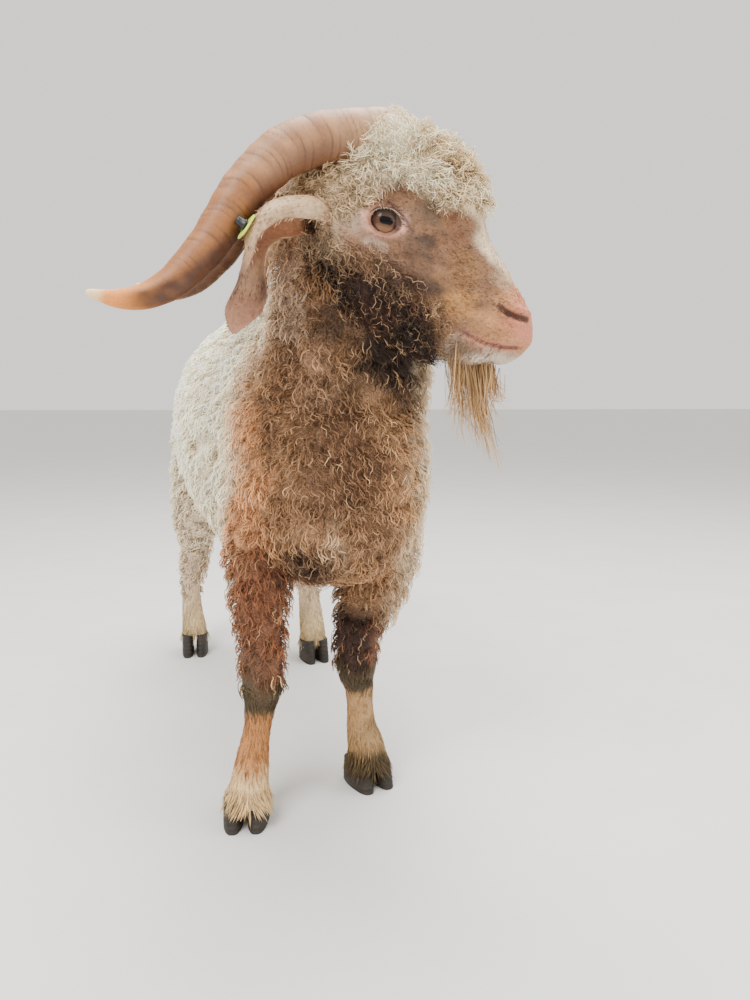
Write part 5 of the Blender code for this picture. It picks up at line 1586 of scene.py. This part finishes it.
def build_beard(random):
    """Long straight wisps from the chin, gathered in locks that hang and part."""
    locks = np.array(BEARD_LOCKS)
    lock = np.repeat(np.arange(len(locks)), BEARD_WISPS)
    count, steps = len(lock), 12
    spread = random.normal(0, 1, (count, 2, 3))
    root = locks[lock, :3] + spread[:, 0] * np.array([0.0075, 0.0015, 0.0060])
    tip = locks[lock, 3:] + spread[:, 1] * np.array([0.0075, 0.0065, 0.0065])
    tip = root + (tip - root) * (1 - 0.75 * random.uniform(0, 1, (count, 1)) ** 1.5)
    root[:, 1] = np.minimum(root[:, 1] + 0.006, -0.018)
    share = np.linspace(0, 1, steps)[None, :, None]
    bend = np.array([0.010, -0.012, 0.003]) * np.sin(math.pi * share)
    bend = bend * random.uniform(0.2, 1.3, (count, 1, 1))
    wave = random.uniform(0, math.tau, (count, 1, 1))
    wave = wave + share * math.tau * random.uniform(1.0, 2.2, (count, 1, 1))
    sway = unit(random.normal(size=(count, 1, 3))) * np.sin(wave) * 0.0015 * share
    place = from_head(root[:, None] + (tip - root)[:, None] * share + bend + sway)
    up = np.tile(-HEAD_AXES[1], (count, steps, 1))
    profile = np.interp(share[0, :, 0], (0, 0.2, 0.8, 1), (1.0, 1.0, 0.6, 0.2))
    mesh = strand_mesh(place, up, random.uniform(0.00026, 0.00056, count), profile)
    tone = np.clip(1 + 0.12 * random.normal(0, 1, count), 0.5, 1.5)
    base = blend(srgb(230, 188, 132), srgb(120, 78, 44), random.uniform(0, 1, count) ** 1.8)
    spots = head_atlas(place[:, 0], np.tile(-HEAD_AXES[1], (count, 1)))
    # Painted shade at the wisps' roots and painted light at their tips
    return finished(mesh, base, tone, (0.80, 0.95, 1.1), spots)


def build_eye(side):
    """One eyeball with an amber iris and a level bar for its pupil."""
    points, faces = ball((0, 0, 0), [EYE_RADIUS - 0.0002] * 3, np.eye(3), 112, 84)
    a, b, c = points.T
    away, angle = np.hypot(a, b), np.arctan2(b, a)
    streak = 0.5 + 0.5 * np.sin(angle * 46 + 2.5 * np.sin(angle * 13)) * ease(0.003, 0.007, away)
    iris = layered(
        srgb(92, 64, 46),
        (srgb(54, 36, 26), streak * 0.6),
        (srgb(58, 36, 26), ease(0.0078, 0.0102, away)),
        # Painted light on the lower part of the iris
        (srgb(150, 108, 76), ease(-0.0030, -0.0065, b) * ease(0.0100, 0.0085, away) * 0.5),
        # Painted shadow of the upper lid over the top of the iris
        (srgb(52, 44, 42), ease(0.0010, 0.0065, b) * 0.85),
    )
    pupil = np.hypot(np.maximum(np.abs(a) - 0.0030, 0.0), b)
    colour = layered(
        srgb(36, 22, 18),
        (iris, ease(0.0112, 0.0104, away) * (c > 0)),
        (srgb(8, 7, 9), ease(0.0034, 0.0028, pupil) * (c > 0)),
    )
    points = points + unit(points) * (ease(0.70, 0.95, c / EYE_RADIUS) * 0.0005)[:, None]
    shape = (points @ eye_frame() + np.array(EYE_AT), faces)
    node = "eye_right" if side > 0 else "eye_left"
    shape = headed(shape if side > 0 else mirrored(shape))
    wet = {"Specular_IOR_Level": 0.05, "Coat_Weight": 0.22, "Coat_Roughness": 0.03}
    return own_piece(node, shape, colour, "eye", 0.16, 900.0, 0.0, 0.06, **wet)


def build_lashes(random):
    """Pale lashes along the upper lid of each eye."""
    level, up, out = eye_frame()
    turn = np.radians(np.linspace(25, 155, LASHES))[:, None] + random.normal(0, 0.03, (LASHES, 1))
    root = lid_line(turn[:, 0], 1.03, 0.0012)
    way = unit(level * np.cos(turn) * 0.6 + up * (np.sin(turn) * 0.30 - 0.20) + out)
    profile = np.array([1.0, 1.0, 0.9, 0.7, 0.4, 0.2])
    share = np.linspace(0, 1, len(profile))[None, :, None]
    size = random.uniform(0.0050, 0.0085, (LASHES, 1, 1))
    place = root[:, None] + way[:, None] * share * size - up * (share**2 * 0.0030)
    place = from_head(np.concatenate([place, place * MIRROR]))
    count = len(place)
    ups = np.tile(HEAD_AXES[1], (count, len(profile), 1))
    mesh = strand_mesh(place, ups, np.full(count, 0.00020), profile)
    spots = head_atlas(place[:, 0], np.tile(HEAD_AXES[2], (count, 1)))
    return finished(mesh, np.tile(srgb(214, 190, 160), (count, 1)), np.ones(count), (1.0, 1.0), spots)


def claw_shape(x, y, turn, top, half, side):
    """A claw in rings from the ground up: rounded, narrower at its top and with growth lines."""
    turn = math.radians(turn)
    forward = np.array([math.sin(turn), -math.cos(turn), 0.0])
    across = np.array([-forward[1], forward[0], 0.0])
    wide = (half - HOOF_CLEFT / 2) / 2
    turns = around(48)
    ahead, flat = np.cos(turns), powered(np.sin(turns), 0.75)
    lean = across * (-side * 0.10 * wide * np.maximum(ahead, 0))[:, None]
    rings = []
    for height in np.linspace(0, 1, 34):
        toe, heel = 0.56 - 0.16 * height**1.3, 0.44 - 0.02 * height
        share = (1.0 - 0.07 * height) * (1 - 0.10 * (1 - min(height / 0.10, 1.0)) ** 2)
        line = 0.00035 * math.sin(height * 34)
        reach = np.where(ahead > 0, toe, heel) * HOOF_LENGTH * (0.985 if height < 0.03 else 1.0)
        centre = np.array([x, y, top * height]) + across * side * (wide + HOOF_CLEFT / 2)
        spot = centre + forward * (ahead * (reach + line))[:, None]
        rings.append(spot + across * (flat * (wide * share + line))[:, None] + lean)
    rings = np.array(rings)
    return skinned(rings, rings[0].mean(axis=0), rings[-1].mean(axis=0))


def build_hooves():
    """Each hoof's two claws, the left fore hoof's the muddiest."""
    for name, sizes in HOOVES.items():
        muddy = 1.0 if name == "foreleg_left" else 0.45
        for side in (-1, 1):
            points, faces = claw_shape(*sizes, side)
            colour = layered(
                srgb(42, 32, 23),
                (srgb(22, 16, 12), held(0.5 + 0.5 * ripple(points, 0.010, 16))),
                (srgb(40, 33, 20), held(ripple(points, 0.016, 17) * 0.6 + 0.4) * muddy),
            )
            outer = (side > 0) == name.endswith("left")
            node = name.replace("leg", "_hoof") + ("_outer" if outer else "_inner")
            own_piece(node, (points, faces), colour, "hoof", 0.68, 260.0, 0.5, 0.25)


TAG_STEPS = 101
# The plate's rings: share of its outline and height over its middle, in half thicknesses
PLATE_RINGS = (
    (0.90, -1.0), (0.97, -0.8), (1.0, -0.3), (1.0, 0.3), (0.97, 0.8), (0.90, 1.0), (0.55, 1.05), (0.50, 0.75),
)


def build_tag():
    """The ear tag: a round-cornered plate and a tapered button, both unmarked."""
    path, along, opens, *_ = ear_sheet(TAG_STEPS)
    i = int(TAG_AT * (TAG_STEPS - 1))
    along = along[i]
    turn = math.radians(TAG_TURN)
    out = np.cross(opens[i], along) * math.sin(turn) - opens[i] * math.cos(turn)
    across = np.cross(along, out)
    start = path[i, :3] + out * path[i, 3]
    turns = around(64)
    wide, long, thick = TAG_PLATE
    rim = across * (powered(np.cos(turns), 0.55) * wide)[:, None]
    rim = rim + along * (powered(np.sin(turns), 0.55) * long)[:, None]
    rings = np.array([start + out * (0.0016 + thick * height) + rim * share for share, height in PLATE_RINGS])
    plate = skinned(rings, start + out * (0.0016 - thick), start + out * (0.0016 + thick * 0.75))
    made = mesh_of("tag_plate_fine", headed(plate))
    finish = plain("tag_green", srgb(196, 214, 84), 0.42, 400.0, 0.08, 0.06)
    dress(made, finish, "green_plastic", "ear_tag_plate")
    low, base = -0.0060, 0.0032
    big, small, tall = TAG_BUTTON
    rows = (
        (low, 0.0016), (base - 0.0004, 0.0016), (base, big * 0.9), (base + 0.0003, big), (base + 0.0016, big),
        (base + 0.0024, big * 0.78), (base + tall * 0.85, small), (base + tall * 0.97, small * 0.8),
        (base + tall, small * 0.4),
    )
    spin = across * np.cos(turns)[:, None] + along * np.sin(turns)[:, None]
    rings = np.array([start + out * height + spin * radius for height, radius in rows])
    button = skinned(rings, start + out * low, start + out * (base + tall))
    made = mesh_of("tag_button_fine", headed(button))
    finish = plain("tag_black", srgb(26, 26, 28), 0.38, 400.0, 0.08, 0.2)
    dress(made, finish, "black_plastic", "ear_tag_button")


def coat_piece(name, finish, slot, *batches):
    """Batches of strands as one piece with its colours and its atlas."""
    colours, uv = (np.vstack([batch[key] for batch in batches]) for key in ("colours", "uv"))
    shape = joined([(batch["points"], batch["faces"]) for batch in batches])
    return dress(mesh_of(name, shape, colours, uv), finish, slot)


def build_coat(body_ground, head_ground, random):
    """All the wool and hair, in pieces small enough to export."""
    clean = tinted("wool", 0.85, 600.0, 0.40, 0.14)
    for key, batches in body_coat(body_ground, random).items():
        for k, one in enumerate(batches):
            coat_piece(f"{key}_{k + 1}", clean, "fleece" if key == "fleece_rear" else "stained_fleece", one)
    crown, cheeks = head_coat(head_ground, random)
    coat_piece("crown_wool", clean, "fleece", crown)
    coat_piece("cheek_wool", clean, "stained_fleece", cheeks)
    short = tinted("short_hair", 0.72, 900.0, 0.25, 0.12)
    ears = [build_ear(side, random) for side in (1, -1)]
    face = face_hair(head_ground, random)
    coat_piece("face_hair", short, "short_hair", face, *ears, build_lashes(random))
    coat_piece("leg_hair", short, "fleece", leg_hair(body_ground, random))
    coat_piece("beard", short, "short_hair", build_beard(random))


FLESH = ("torso", "neck", "head", "tail", *LEG_ROWS)


def build_goat():
    """Every piece of the goat, the coat's random draws in a fixed order."""
    random = np.random.default_rng(SEED)
    skin, body_ground, head_ground = build_skin()
    finish = tinted("skin", 0.70, 420.0, 0.70, 0.26, 0.0014, True)
    dress(skin, finish, "short_hair", *FLESH)
    build_coat(body_ground, head_ground, random)
    for side in (1, -1):
        build_horn(side)
        build_eye(side)
    build_hooves()
    build_tag()


# The stage


FLOOR_SIZE = 160.0
SKY = (0.99, 0.965, 0.915, 1.0)
# Each light: its name, place, size and power
LIGHTS = (
    ("key", (-1.4, -1.8, 2.6), 1.4, 110.0),
    ("fill", (2.2, -1.2, 1.6), 2.0, 34.0),
    ("top", (0.3, 0.2, 3.0), 1.6, 115.0),
)
LIT_AT = (0.0, 0.0, 0.40)


def build_stage():
    """A plain pale floor and soft lights."""
    bpy.ops.mesh.primitive_plane_add(size=FLOOR_SIZE, location=(0, 0, 0))
    floor = bpy.context.object
    floor.name = "floor"
    floor.data.materials.append(plain("floor", (0.72, 0.71, 0.69), 0.85, 6.0, 0.02, 0.03))
    world = bpy.context.scene.world or bpy.data.worlds.new("world")
    bpy.context.scene.world = world
    world.use_nodes = True
    with_inputs(world.node_tree.nodes["Background"], Color=SKY, Strength=1.25)
    for name, at, size, power in LIGHTS:
        light = bpy.data.lights.new(name, "AREA")
        light.size = size
        light.energy = power
        made = bpy.data.objects.new(name, light)
        made.location = at
        made.rotation_euler = (Vector(LIT_AT) - Vector(at)).to_track_quat("-Z", "Y").to_euler()
        bpy.context.scene.collection.objects.link(made)


def build_camera():
    """The photograph's camera."""
    camera = bpy.data.cameras.new("camera")
    camera.sensor_fit = "HORIZONTAL"
    camera.sensor_width = 36.0
    camera.lens = CAMERA_LENS
    camera.clip_start = 0.02
    made = bpy.data.objects.new("camera", camera)
    made.location = np.array(CAMERA_AT) + SHIFT
    made.rotation_euler = (math.radians(90 - CAMERA_TILT), 0.0, math.radians(-CAMERA_TURN))
    bpy.context.scene.collection.objects.link(made)
    bpy.context.scene.camera = made


build_camera()
build_stage()
build_goat()
